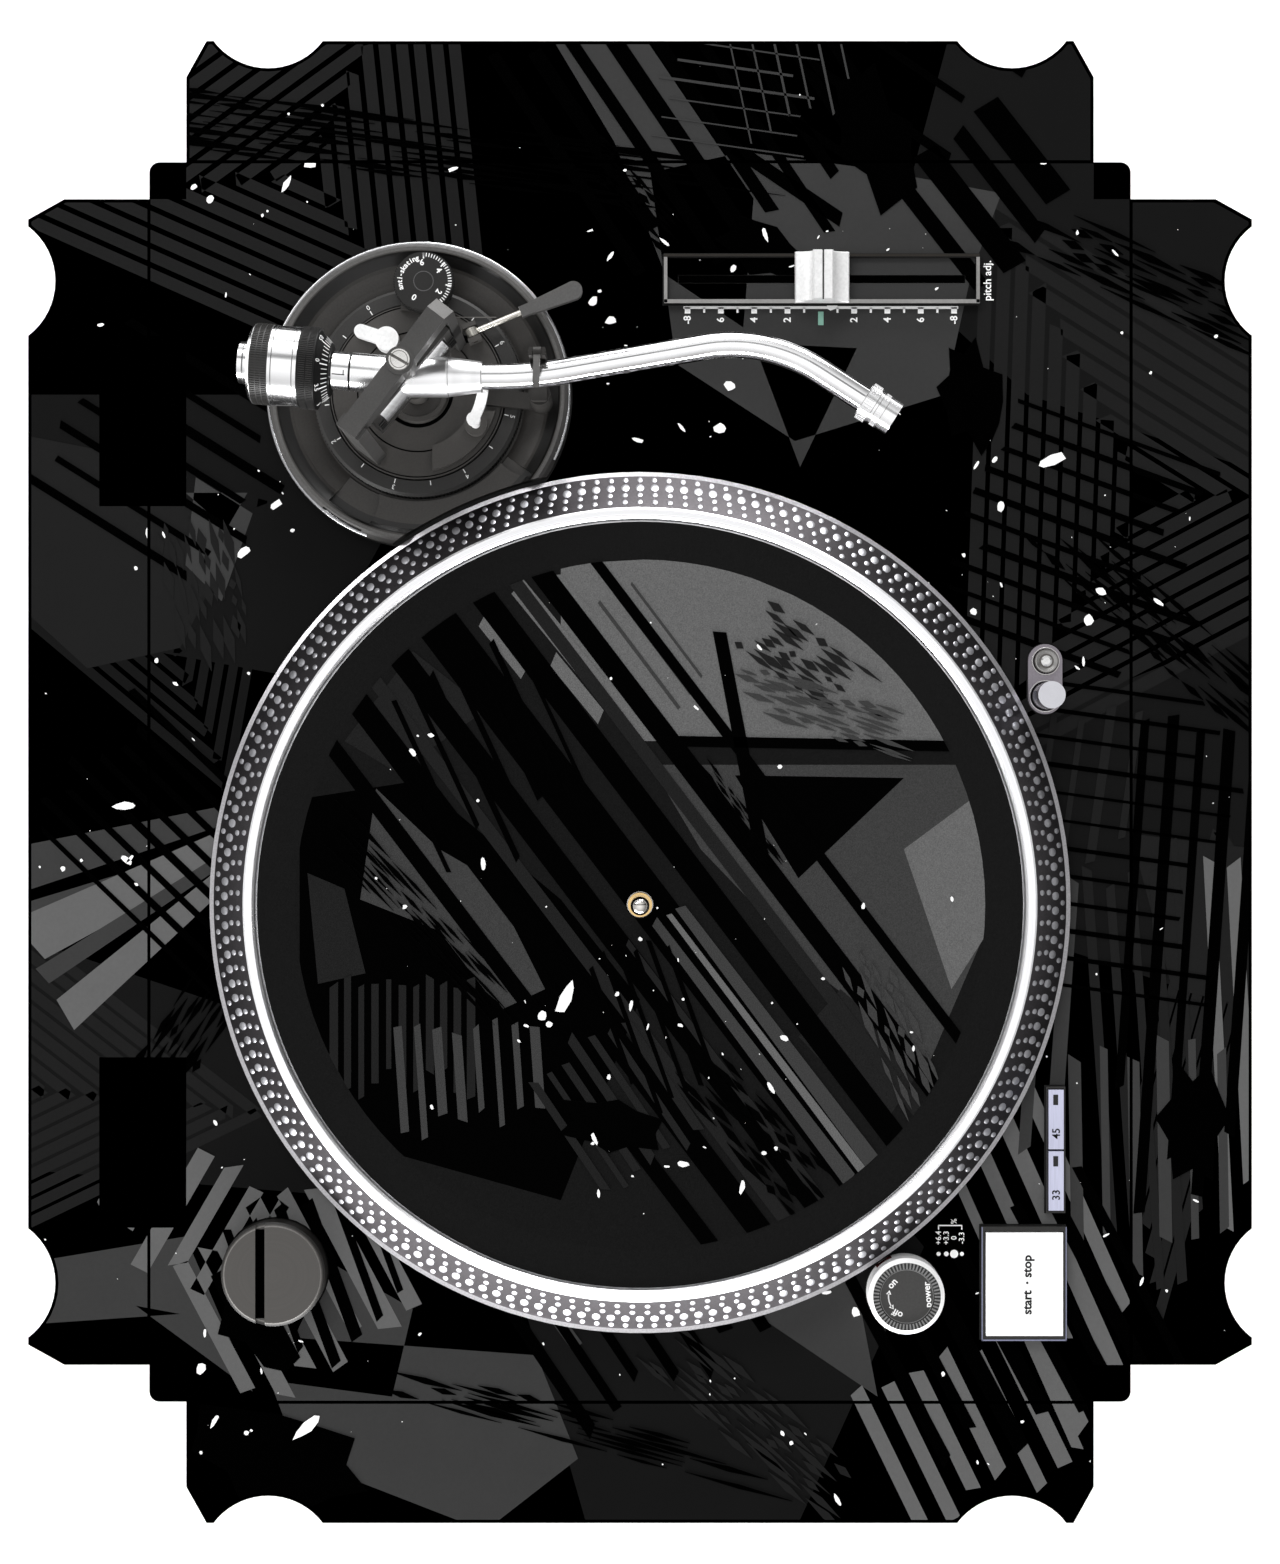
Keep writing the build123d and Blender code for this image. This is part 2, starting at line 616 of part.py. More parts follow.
def make_pivot_screw():
    """Slotted upper pivot screw with a fine tip."""
    top = BRIDGE_TOP + 0.6
    screw = drum(*PIVOT, top, top + 1.8, 3.7)
    screw += drum(*PIVOT, DECK_Z + 57, top, 2.5)
    screw += drum(*PIVOT, DECK_Z + 53, DECK_Z + 57, PIN_R)
    return screw - bar(PIVOT, 60, -4, 4, 1.0, top + 0.9, top + 2)


def make_antiskate_knob():
    cap = turned(*KNOB, [
        (0, PLATE_Z + 0.6),
        (2.5, PLATE_Z + 0.6),
        (2.5, PLATE_Z + 3.4),
        (11.4, PLATE_Z + 3.4),
        (11.6, PLATE_Z + 5.5),
        (11.0, PLATE_Z + 8.4),
        (0, PLATE_Z + 8.4),
    ])
    return cap


def make_lock_lever():
    """Flat lever with a round boss and a short tail."""
    lever = drum(*LOCK, PLATE_Z + 0.4, PLATE_Z + 6.5, 4.6)
    lever += bar(LOCK, LOCK_DEG, 0, 10.5, 5.2, PLATE_Z + 1.5, PLATE_Z + 4.5)
    lever += drum(*polar(LOCK, 10.5, LOCK_DEG), PLATE_Z + 1.5, PLATE_Z + 4.5, 2.6)
    return lever + drum(*LOCK, DECK_Z + 4.6, PLATE_Z + 0.4, 2.0)


def make_cue_lever():
    """Hinged rod that ends in a flat, round-tipped paddle."""
    lever = rod(CUE, CUE_DEG + 90, -1.6, 1.6, 2.4, CUE_Z)
    lever += rod(CUE, CUE_DEG + 90, -3.7, 3.7, 1.0, CUE_Z)
    lever += rod(CUE, CUE_DEG, 1, 22, 1.2, CUE_Z)
    lever += bar(CUE, CUE_DEG, 20, 25, 4.2, CUE_Z - 1.6, CUE_Z + 1.6)
    outline = [(24, -2.3), (41.7, -3.5), (41.7, 3.5), (24, 2.3)]
    paddle = extrude(make_face(Polyline(*outline, close=True)), 3.0)
    lever += Pos(*CUE, CUE_Z - 1.5) * Rot(0, 0, CUE_DEG) * paddle
    return lever + drum(*polar(CUE, 41.7, CUE_DEG), CUE_Z - 1.5, CUE_Z + 1.5, 3.5)


LIFT_BAR_Z = DECK_Z + 27.0


def make_cue_lifter():
    """Lifter post with a curved bar under the tube."""
    post = polar(PIVOT, LIFT_R, LIFT_DEG)
    lifter = drum(*post, DECK_Z + 3.2, LIFT_BAR_Z + 1.6, 1.8)
    lifter += drum(*post, LIFT_BAR_Z - 1, LIFT_BAR_Z + 1.6, 2.6)
    arc = ring(*PIVOT, LIFT_BAR_Z, LIFT_BAR_Z + 1.6, LIFT_R + 2, LIFT_R - 2)
    edge = LIFT_R * math.cos(math.radians(LIFT_DEG))
    reach = -edge + 3
    window = block(PIVOT[0] + edge + reach / 2, PIVOT[1] - LIFT_R, reach, 24, 100, 160)
    return lifter + (arc & window)


# ---- arm rest and its clamp -----------------------------------------------------
REST = polar(PIVOT, REST_R, REST_DEG)
HINGE_X = 157.1                 # clamp hinge
HINGE_Z = DECK_Z + 48.2
CLAMP_LIFT = 38.0               # the unlocked clamp leans up by this angle


def make_arm_rest():
    """Post with an open cradle: a ledge under the tube and one outer lip."""
    rest = bar(PIVOT, REST_DEG, 27, REST_R, 6, PLATE_Z, PLATE_Z + 3.2)
    rest += drum(*REST, PLATE_Z, DECK_Z + 31, 4.2)
    rest += block(150.2, REST[1], 16.8, 6, DECK_Z + 30, DECK_Z + 34.6, 1)
    rest += block(157.1, REST[1], 3.0, 6, DECK_Z + 30, DECK_Z + 45.4)
    for side in (-1, 1):
        rest += block(HINGE_X, REST[1] + side * 2.35, 3.0, 1.3, DECK_Z + 45, HINGE_Z + 2.2)
    return rest - rod((HINGE_X, REST[1]), 90, -4, 4, 0.8 + RUNNING, HINGE_Z)


def make_rest_clamp():
    """Narrow strap on a hinge pin, leaning up and across the tube."""
    hub = rod((HINGE_X, REST[1]), 90, -1.5, 1.5, 2.0, HINGE_Z)
    hub += rod((HINGE_X, REST[1]), 90, -3.2, 3.2, 0.8, HINGE_Z)
    strap = Pos(-8.0, 0, 0) * Box(15.0, 2.4, 1.4)
    strap += Pos(-15.5, 0, -0.9) * Box(1.4, 2.4, 3.2)
    return hub + Pos(HINGE_X, REST[1], HINGE_Z) * Rot(0, CLAMP_LIFT, 0) * strap


# ---- gimbal, tube and collar ------------------------------------------------------
def make_gimbal_ring():
    """Upright frame that turns on the two pivots and carries the cross tube."""
    frame = bar(PIVOT, TILT_DEG, -CHEEK_OUT, CHEEK_OUT, 6, DECK_Z + 24.4, DECK_Z + 55.6)
    frame -= bar(PIVOT, TILT_DEG, -CHEEK_IN, CHEEK_IN, 8, DECK_Z + 28, DECK_Z + 52)
    for side in (0, 180):
        frame += rod(PIVOT, TILT_DEG + side, CHEEK_IN, CHEEK_OUT, 4.8)
    frame -= drum(*PIVOT, DECK_Z + 20, DECK_Z + 60, PIN_R + RUNNING)
    return frame - rod(PIVOT, TILT_DEG, -20.8, 20.8, PIN_R + RUNNING)


HOUSING_END = 27.0


def make_arm_housing():
    """Tube housing with its cross tube and pins."""
    housing = Pos(*PIVOT, ARM_Z) * Sphere(7.4)
    housing += rod(PIVOT, -90, 0, 14, 7.4)
    housing += rod(PIVOT, -90, 14, HOUSING_END, 7.4, tip=5.6)
    housing += rod(PIVOT, REAR_DEG, 0, 12, 7.1)
    housing += rod(PIVOT, TILT_DEG, -17.6, 17.6, 4.6)
    return housing + rod(PIVOT, TILT_DEG, -20.4, 20.4, PIN_R)


# The S-shaped tube: out by OUT_DEG from the straight, then in by IN_DEG.
TUBE_START = (PIVOT[0], PIVOT[1] - HOUSING_END)
FIRST_BEND = (PIVOT[0], 40.4)
OUT_DEG = 9.8
IN_DEG = 32.7
OUT_RUN = 88.1
IN_RUN = 42.3
SECOND_BEND = polar(FIRST_BEND, OUT_RUN, -90 + OUT_DEG)
TUBE_END = polar(SECOND_BEND, IN_RUN, -90 - IN_DEG)
END_DEG = -90 - IN_DEG


def make_arm_tube():
    """Hollow S tube swept along two smooth bends."""
    points = [(*place, ARM_Z) for place in (TUBE_START, FIRST_BEND, SECOND_BEND, TUBE_END)]
    path = FilletPolyline(*points, radius=[150, 60])
    start = Plane(origin=points[0], x_dir=(1, 0, 0), z_dir=(0, -1, 0))
    section = start * (Circle(TUBE_R) - Circle(TUBE_R - 0.8))
    return sweep(section, path=path)


def make_headshell_socket():
    """Sleeve at the tube's end that a headshell plugs into."""
    sleeve = rod(TUBE_END, END_DEG, 0, 13.5, TUBE_R)
    sleeve -= rod(TUBE_END, END_DEG, 2, 6, 3.6)
    return sleeve - rod(TUBE_END, END_DEG, 5, 14, 4.05)


def make_contact_pins():
    made = []
    for step in range(4):
        turn = math.radians(45 + 90 * step)
        across = 1.6 * math.cos(turn)
        base = polar(TUBE_END, across, END_DEG + 90)
        made.append(rod(base, END_DEG, 2, 4.5, 0.45, ARM_Z + 1.6 * math.sin(turn)))
    return group(made)


def make_collar_nut():
    """Locking collar that turns round the end of the tube."""
    collar = rod(TUBE_END, END_DEG, 0.8, 5.2, 6.9) + rod(TUBE_END, END_DEG, 5.2, 14.2, 6.4)
    return collar - rod(TUBE_END, END_DEG, 0, 15, TUBE_R + RUNNING)


# ---- counterweight end --------------------------------------------------------------
STEM_R = 4.0
SLEEVE_R = 5.6


def make_rear_shaft():
    shaft = rod(PIVOT, REAR_DEG, 12, 21.0, 7.1) + rod(PIVOT, REAR_DEG, 21.0, 21.8, 6.4)
    shaft += rod(PIVOT, REAR_DEG, 21.8, 28, 7.1)
    return shaft + rod(PIVOT, REAR_DEG, 28, 56, STEM_R)


def make_weight_sleeve():
    sleeve = rod(PIVOT, REAR_DEG, 34, 56.5, SLEEVE_R)
    return sleeve - rod(PIVOT, REAR_DEG, 33, 58, STEM_R + RUNNING)


def make_force_dial():
    """Scale ring: a cone towards the pivot and a plain rim."""
    dial = rod(PIVOT, REAR_DEG, 28.6, 33.2, 9.5, tip=14.0)
    dial += rod(PIVOT, REAR_DEG, 33.2, 39.4, 14.9)
    return dial - rod(PIVOT, REAR_DEG, 28, 40, SLEEVE_R + RUNNING)


def make_counterweight():
    weight = rod(PIVOT, REAR_DEG, 39.7, 57, 14.6)
    weight += rod(PIVOT, REAR_DEG, 57, 58.2, 14.6, tip=13.4)
    weight += rod(PIVOT, REAR_DEG, 58.2, 62.5, 7.7)
    return weight - rod(PIVOT, REAR_DEG, 39, 57, SLEEVE_R + RUNNING)


parts["arm_base"] = make_arm_base()
parts["arm_guide"] = make_arm_guide()
parts["height_ring"] = make_height_ring()
parts["arm_column"] = make_arm_column()
parts["arm_bridge"] = make_arm_bridge()
parts["pivot_screw"] = make_pivot_screw()
parts["antiskate_knob"] = make_antiskate_knob()
parts["lock_lever"] = make_lock_lever()
parts["cue_lever"] = make_cue_lever()
parts["cue_lifter"] = make_cue_lifter()
parts["arm_rest"] = make_arm_rest()
parts["rest_clamp"] = make_rest_clamp()
parts["gimbal_ring"] = make_gimbal_ring()
parts["arm_housing"] = make_arm_housing()
parts["arm_tube"] = make_arm_tube()
parts["headshell_socket"] = make_headshell_socket()
parts["contact_pins"] = make_contact_pins()
parts["collar_nut"] = make_collar_nut()
parts["rear_shaft"] = make_rear_shaft()
parts["weight_sleeve"] = make_weight_sleeve()
parts["force_dial"] = make_force_dial()
parts["counterweight"] = make_counterweight()


# ---- one file per sub-part ------------------------------------------------------------
os.makedirs("parts", exist_ok=True)
for name, shape in parts.items():
    export_step(shape, f"parts/{name}.step")
print(len(parts), "sub-parts written")
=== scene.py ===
"""Looks for the turntable: camera, light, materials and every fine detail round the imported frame.

Lengths in this script are millimetres in the frame's own axes, and MM turns them into metres.
"""
import json
import math
import random

import bpy
from mathutils import Matrix, Vector


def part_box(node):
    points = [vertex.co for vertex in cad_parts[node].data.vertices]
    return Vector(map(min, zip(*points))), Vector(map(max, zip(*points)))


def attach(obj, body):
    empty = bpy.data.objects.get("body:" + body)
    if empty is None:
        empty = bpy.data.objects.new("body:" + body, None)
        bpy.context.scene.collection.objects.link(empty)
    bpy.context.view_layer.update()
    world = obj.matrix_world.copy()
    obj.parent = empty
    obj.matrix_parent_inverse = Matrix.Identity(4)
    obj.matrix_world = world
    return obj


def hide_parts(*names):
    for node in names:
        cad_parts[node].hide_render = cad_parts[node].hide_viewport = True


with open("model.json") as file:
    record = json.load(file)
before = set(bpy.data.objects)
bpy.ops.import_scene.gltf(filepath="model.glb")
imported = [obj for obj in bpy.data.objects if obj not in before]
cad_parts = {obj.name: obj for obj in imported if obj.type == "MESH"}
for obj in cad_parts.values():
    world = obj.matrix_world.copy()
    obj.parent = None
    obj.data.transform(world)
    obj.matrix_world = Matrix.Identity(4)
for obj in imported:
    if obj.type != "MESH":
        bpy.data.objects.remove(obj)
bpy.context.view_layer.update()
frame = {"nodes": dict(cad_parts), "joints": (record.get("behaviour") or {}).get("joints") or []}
MM = 0.001


# ---- places read from the frame ------------------------------------------------
def node_box(name):
    """A CAD node's lowest and highest corner, in millimetres."""
    low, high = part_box(name)
    return [v / MM for v in low], [v / MM for v in high]


def node_centre(name):
    """Plan centre of a CAD node, in millimetres."""
    low, high = node_box(name)
    return (low[0] + high[0]) / 2, (low[1] + high[1]) / 2


def node_top(name):
    return node_box(name)[1][2]


def joint_place(name):
    """Where a hinge turns, in millimetres."""
    for joint in frame["joints"]:
        if joint["name"] == name:
            return [v / MM for v in joint["pos_m"]]
    raise KeyError(name)


DECK = node_top("cabinet")
SKIN = node_top("skin_top")
SPINDLE = node_centre("platter")
PIVOT = tuple(joint_place("tonearm_swing")[:2])
ARM_Z = joint_place("tonearm_swing")[2]
MAT_TOP = node_top("slipmat")
PLATTER_TOP = node_top("platter")
DIAL = node_centre("power_dial")
KNOB = node_centre("antiskate_knob")
FADER = node_centre("fader_bezel")
START = node_centre("start_stop_button")
KEY_33 = node_centre("speed_key_33")
KEY_45 = node_centre("speed_key_45")
PUCK = node_centre("adaptor_45")
LIGHT = node_centre("target_light")
LIGHT_KEY = node_centre("light_key")
HALF_X = node_box("cabinet")[1][0]
HALF_Y = node_box("cabinet")[1][1]


# ---- camera, floor and light ------------------------------------------------------
CAMERA_ABOVE_DECK = 850.0
VIEW_HEIGHT = 605.9             # what the picture's height covers at the deck


def make_camera():
    """Straight down, with the player's right side at the top of the picture."""
    data = bpy.data.cameras.new("camera")
    data.sensor_fit = "VERTICAL"
    data.sensor_height = 36.0
    data.lens = data.sensor_height * CAMERA_ABOVE_DECK / VIEW_HEIGHT
    data.clip_end = 20
    camera = bpy.data.objects.new("camera", data)
    camera.location = (0, 0, (DECK + CAMERA_ABOVE_DECK) * MM)
    camera.rotation_euler = (0, 0, math.radians(-90))
    bpy.context.collection.objects.link(camera)
    bpy.context.scene.camera = camera


def area_light(name, place, aim, size, power):
    """Soft light panel, width by height, aimed at a point, all in metres."""
    data = bpy.data.lights.new(name, "AREA")
    data.shape = "RECTANGLE"
    data.size, data.size_y = size
    data.energy = power
    light = bpy.data.objects.new(name, data)
    light.location = place
    direction = Vector(aim) - Vector(place)
    light.rotation_euler = direction.to_track_quat("-Z", "Y").to_euler()
    bpy.context.collection.objects.link(light)


SKY_HORIZON = 0.38
SKY_TILT = 0.20                 # brighter behind the player than in front
SKY_OVERHEAD = 1.25
SKY_GAP = (0.20, 0.42)          # dark gap between the soft boxes, seen in the tube as a thin line
SKY_GAP_LEVEL = 0.25
FLOOR_REACH = 30.0


def make_sky():
    """Surround that is brightest overhead and darkest low down in front."""
    world = bpy.data.worlds.new("surround")
    world.use_nodes = True
    tree = world.node_tree
    place = node_of(tree, "ShaderNodeTexCoord")
    split = node_of(tree, "ShaderNodeSeparateXYZ")
    tree.links.new(place.outputs["Generated"], split.inputs[0])
    x, y, z = split.outputs
    level = maths(tree, "MULTIPLY_ADD", y, SKY_TILT, SKY_HORIZON)
    height = maths(tree, "MULTIPLY", z, z, clamp=True)
    strength = maths(tree, "MULTIPLY_ADD", height, SKY_OVERHEAD - SKY_HORIZON, level)
    dimmed = maths(tree, "MULTIPLY_ADD", band(tree, x, *SKY_GAP, 0.02), SKY_GAP_LEVEL - 1, 1.0)
    background = tree.nodes["Background"]
    background.inputs["Color"].default_value = (1, 1, 1, 1)
    tree.links.new(maths(tree, "MULTIPLY", strength, dimmed), background.inputs["Strength"])
    bpy.context.scene.world = world


def make_stage():
    """White floor, soft surround and three light panels."""
    bpy.context.scene.view_settings.view_transform = "Standard"
    make_sky()
    area_light("key_light", (1.2, 0.6, 1.05), (0.1, 0.05, 0.1), (1.8, 0.35), 16)
    area_light("low_light_right", (1.63, -0.3, 0.3), (0, 0, 0.11), (0.97, 0.5), 30)
    area_light("low_light_left", (-1.7, 0.38, 0.3), (-0.05, 0, 0.11), (2.66, 0.5), 85)
    mesh = bpy.data.meshes.new("floor")
    corners = [(x * FLOOR_REACH, y * FLOOR_REACH, 0) for x, y in ((-1, -1), (1, -1), (1, 1), (-1, 1))]
    mesh.from_pydata(corners, [], [(0, 1, 2, 3)])
    floor = bpy.data.objects.new("floor", mesh)
    bpy.context.collection.objects.link(floor)
    paper, _, shader = start_material("floor_paper", (0.95, 0.95, 0.95), 0.9)
    shader.inputs["Emission Color"].default_value = (1, 1, 1, 1)
    shader.inputs["Emission Strength"].default_value = 0.3
    mesh.materials.append(paper)


# ---- materials ----------------------------------------------------------------------
def node_of(tree, kind, **values):
    """New shader node with its named properties set."""
    node = tree.nodes.new(kind)
    for name, value in values.items():
        setattr(node, name, value)
    return node


def feed(tree, socket, source):
    """Sets a socket to a value, or links another node's output to it."""
    if isinstance(source, bpy.types.NodeSocket):
        tree.links.new(source, socket)
    else:
        socket.default_value = source


def maths(tree, operation, *sources, clamp=False):
    """Result of a math node over numbers or other nodes' outputs."""
    node = node_of(tree, "ShaderNodeMath", operation=operation, use_clamp=clamp)
    for socket, source in zip(node.inputs, sources):
        feed(tree, socket, source)
    return node.outputs[0]


def vector_maths(tree, operation, *sources):
    """Vector math node over vectors or other nodes' outputs."""
    node = node_of(tree, "ShaderNodeVectorMath", operation=operation)
    for socket, source in zip(node.inputs, sources):
        feed(tree, socket, source)
    return node


def start_material(name, colour, rough, metallic=0.0, coat=0.0):
    """Principled material and the parts of it that the makers below extend."""
    material = bpy.data.materials.new(name)
    material.use_nodes = True
    tree = material.node_tree
    shader = tree.nodes["Principled BSDF"]
    shader.inputs["Base Color"].default_value = (*colour, 1)
    shader.inputs["Roughness"].default_value = rough
    shader.inputs["Metallic"].default_value = metallic
    shader.inputs["Coat Weight"].default_value = coat
    return material, tree, shader


def object_space(tree, scale=(1, 1, 1)):
    """Object coordinates, scaled."""
    place = node_of(tree, "ShaderNodeTexCoord")
    mapping = node_of(tree, "ShaderNodeMapping")
    mapping.inputs["Scale"].default_value = scale
    tree.links.new(place.outputs["Object"], mapping.inputs["Vector"])
    return mapping.outputs["Vector"]


def noise_of(tree, vector, scale, detail=4.0):
    noise = node_of(tree, "ShaderNodeTexNoise")
    noise.inputs["Scale"].default_value = scale
    noise.inputs["Detail"].default_value = detail
    tree.links.new(vector, noise.inputs["Vector"])
    return noise.outputs["Fac"]


def remap(tree, value, from_low, from_high, low=0.0, high=1.0):
    """Maps one range of values onto another, held at both ends."""
    node = node_of(tree, "ShaderNodeMapRange")
    feed(tree, node.inputs["Value"], value)
    limits = {"From Min": from_low, "From Max": from_high, "To Min": low, "To Max": high}
    for name, number in limits.items():
        node.inputs[name].default_value = number
    return node.outputs["Result"]


def spread(tree, fac, low, high):
    """Maps a 0.3 to 0.7 pattern onto low to high."""
    return remap(tree, fac, 0.3, 0.7, low, high)


MIX_SOCKETS = {"FLOAT": (2, 3, 0), "RGBA": (6, 7, 2)}     # places of A, B and the result


def mixed(tree, kind, mask, first, second):
    """Mix of two numbers or two colours by a mask. Each is a value or another node's output."""
    a, b, result = MIX_SOCKETS[kind]
    mix = node_of(tree, "ShaderNodeMix", data_type=kind)
    tree.links.new(mask, mix.inputs[0])
    for place, source in ((a, first), (b, second)):
        feed(tree, mix.inputs[place], (*source, 1) if isinstance(source, tuple) else source)
    return mix.outputs[result]


def bump_of(tree, shader, height, strength, distance):
    bump = node_of(tree, "ShaderNodeBump")
    bump.inputs["Strength"].default_value = strength
    bump.inputs["Distance"].default_value = distance * MM
    tree.links.new(height, bump.inputs["Height"])
    tree.links.new(bump.outputs["Normal"], shader.inputs["Normal"])


def scaled(colour, factor):
    return tuple(min(1.0, channel * factor) for channel in colour)


def grained(name, colour, rough, metallic=0.0, grain=900.0, mottle=0.12, relief=0.06,
            depth=0.08, coat=0.0, stretch=(1, 1, 1), shine=0.11):
    """Moulded, painted, printed or brushed surface: fine grain, slow mottling, uneven gloss."""
    material, tree, shader = start_material(name, colour, rough, metallic, coat)
    fine = noise_of(tree, object_space(tree, stretch), grain)
    slow = noise_of(tree, object_space(tree), 60.0, 3.0)
    both = maths(tree, "MULTIPLY_ADD", fine, 0.6, maths(tree, "MULTIPLY", slow, 0.4))
    shade = spread(tree, both, 0.0, 1.0)
    colour_out = mixed(tree, "RGBA", shade, scaled(colour, 1 - mottle), scaled(colour, 1 + mottle))
    tree.links.new(colour_out, shader.inputs["Base Color"])
    gloss = spread(tree, slow, max(0.02, rough - 0.07), min(1.0, rough + 0.07))
    tree.links.new(gloss, shader.inputs["Roughness"])
    shader.inputs["Specular IOR Level"].default_value = shine
    bump_of(tree, shader, fine, relief, depth)
    return material


def from_line(tree, centre, height=0.0):
    """Place in object space, measured from a point in millimetres."""
    place = node_of(tree, "ShaderNodeTexCoord").outputs["Object"]
    origin = (centre[0] * MM, centre[1] * MM, height * MM)
    return vector_maths(tree, "SUBTRACT", place, origin).outputs[0]


def radius_from(tree, centre, height=0.0, axis=None):
    """Distance in millimetres from an upright line, or from a line along an axis."""
    shift = from_line(tree, centre, height)
    if axis is None:
        flat = vector_maths(tree, "MULTIPLY", shift, (1, 1, 0))
    else:
        flat = vector_maths(tree, "CROSS_PRODUCT", shift, axis)
    length = vector_maths(tree, "LENGTH", flat.outputs[0]).outputs["Value"]
    return maths(tree, "DIVIDE", length, MM)


def along(tree, centre, direction):
    """Distance in millimetres along a level direction from a centre."""
    aim = (direction[0] / MM, direction[1] / MM, 0)
    return vector_maths(tree, "DOT_PRODUCT", from_line(tree, centre), aim).outputs["Value"]


def band(tree, value, low, high, soft=0.05):
    """1 where low < value < high, else 0."""
    rise = remap(tree, value, low - soft, low + soft)
    fall = remap(tree, value, high + soft, high - soft)
    return maths(tree, "MULTIPLY", rise, fall)


def turned_metal(name, colour, rough, centre, metallic=1.0, lines=2.2, relief=0.12,
                 height=0.0, axis=None, dark=()):
    """Lathe-turned surface: fine rings about an axis, and optional zones of another finish.

    dark lists the zones as (kind, low, high, colour, rough, metallic). The kind is "radius", or
    the level direction that low and high are measured along.
    """
    material, tree, shader = start_material(name, colour, rough, metallic)
    radius = radius_from(tree, centre, height, axis)
    rings = node_of(tree, "ShaderNodeTexNoise", noise_dimensions="1D")
    rings.inputs["Scale"].default_value = lines
    rings.inputs["Detail"].default_value = 3.0
    tree.links.new(radius, rings.inputs["W"])
    slow = noise_of(tree, object_space(tree), 25.0, 2.0)
    shade = spread(tree, rings.outputs["Fac"], 0, 1)
    colour_out = mixed(tree, "RGBA", shade, scaled(colour, 0.93), scaled(colour, 1.05))
    gloss = spread(tree, slow, max(0.03, rough - 0.05), rough + 0.06)
    metal = metallic
    for kind, low, high, dark_colour, dark_rough, dark_metallic in dark:
        value = radius if kind == "radius" else along(tree, centre, kind)
        mask = band(tree, value, low, high)
        fleck = spread(tree, noise_of(tree, object_space(tree), 1400.0, 3.0), 0, 1)
        dark_out = mixed(tree, "RGBA", fleck, scaled(dark_colour, 0.85), scaled(dark_colour, 1.15))
        colour_out = mixed(tree, "RGBA", mask, colour_out, dark_out)
        gloss = mixed(tree, "FLOAT", mask, gloss, dark_rough)
        metal = mixed(tree, "FLOAT", mask, metal, dark_metallic)
    tree.links.new(colour_out, shader.inputs["Base Color"])
    tree.links.new(gloss, shader.inputs["Roughness"])
    if dark:
        tree.links.new(metal, shader.inputs["Metallic"])
    bump_of(tree, shader, rings.outputs["Fac"], relief, 0.05)
    return material


def felt(name, colour):
    """Short-haired printed felt."""
    material, tree, shader = start_material(name, colour, 0.95)
    fibre = noise_of(tree, object_space(tree), 2600.0, 6.0)
    cloud = noise_of(tree, object_space(tree), 90.0, 4.0)
    shade = mixed(tree, "RGBA", spread(tree, fibre, 0, 1), scaled(colour, 0.75), scaled(colour, 1.3))
    tree.links.new(shade, shader.inputs["Base Color"])
    tree.links.new(spread(tree, cloud, 0.88, 1.0), shader.inputs["Roughness"])
    shader.inputs["Sheen Weight"].default_value = 0.01
    shader.inputs["Specular IOR Level"].default_value = 0.0
    bump_of(tree, shader, fibre, 0.35, 0.12)
    return material


# ---- mesh building ---------------------------------------------------------------------
LETTER_LIFT = 0.06              # half the thickness of raised lettering
SLIVER = 0.01                   # outlines smaller than this, in square millimetres, are dropped


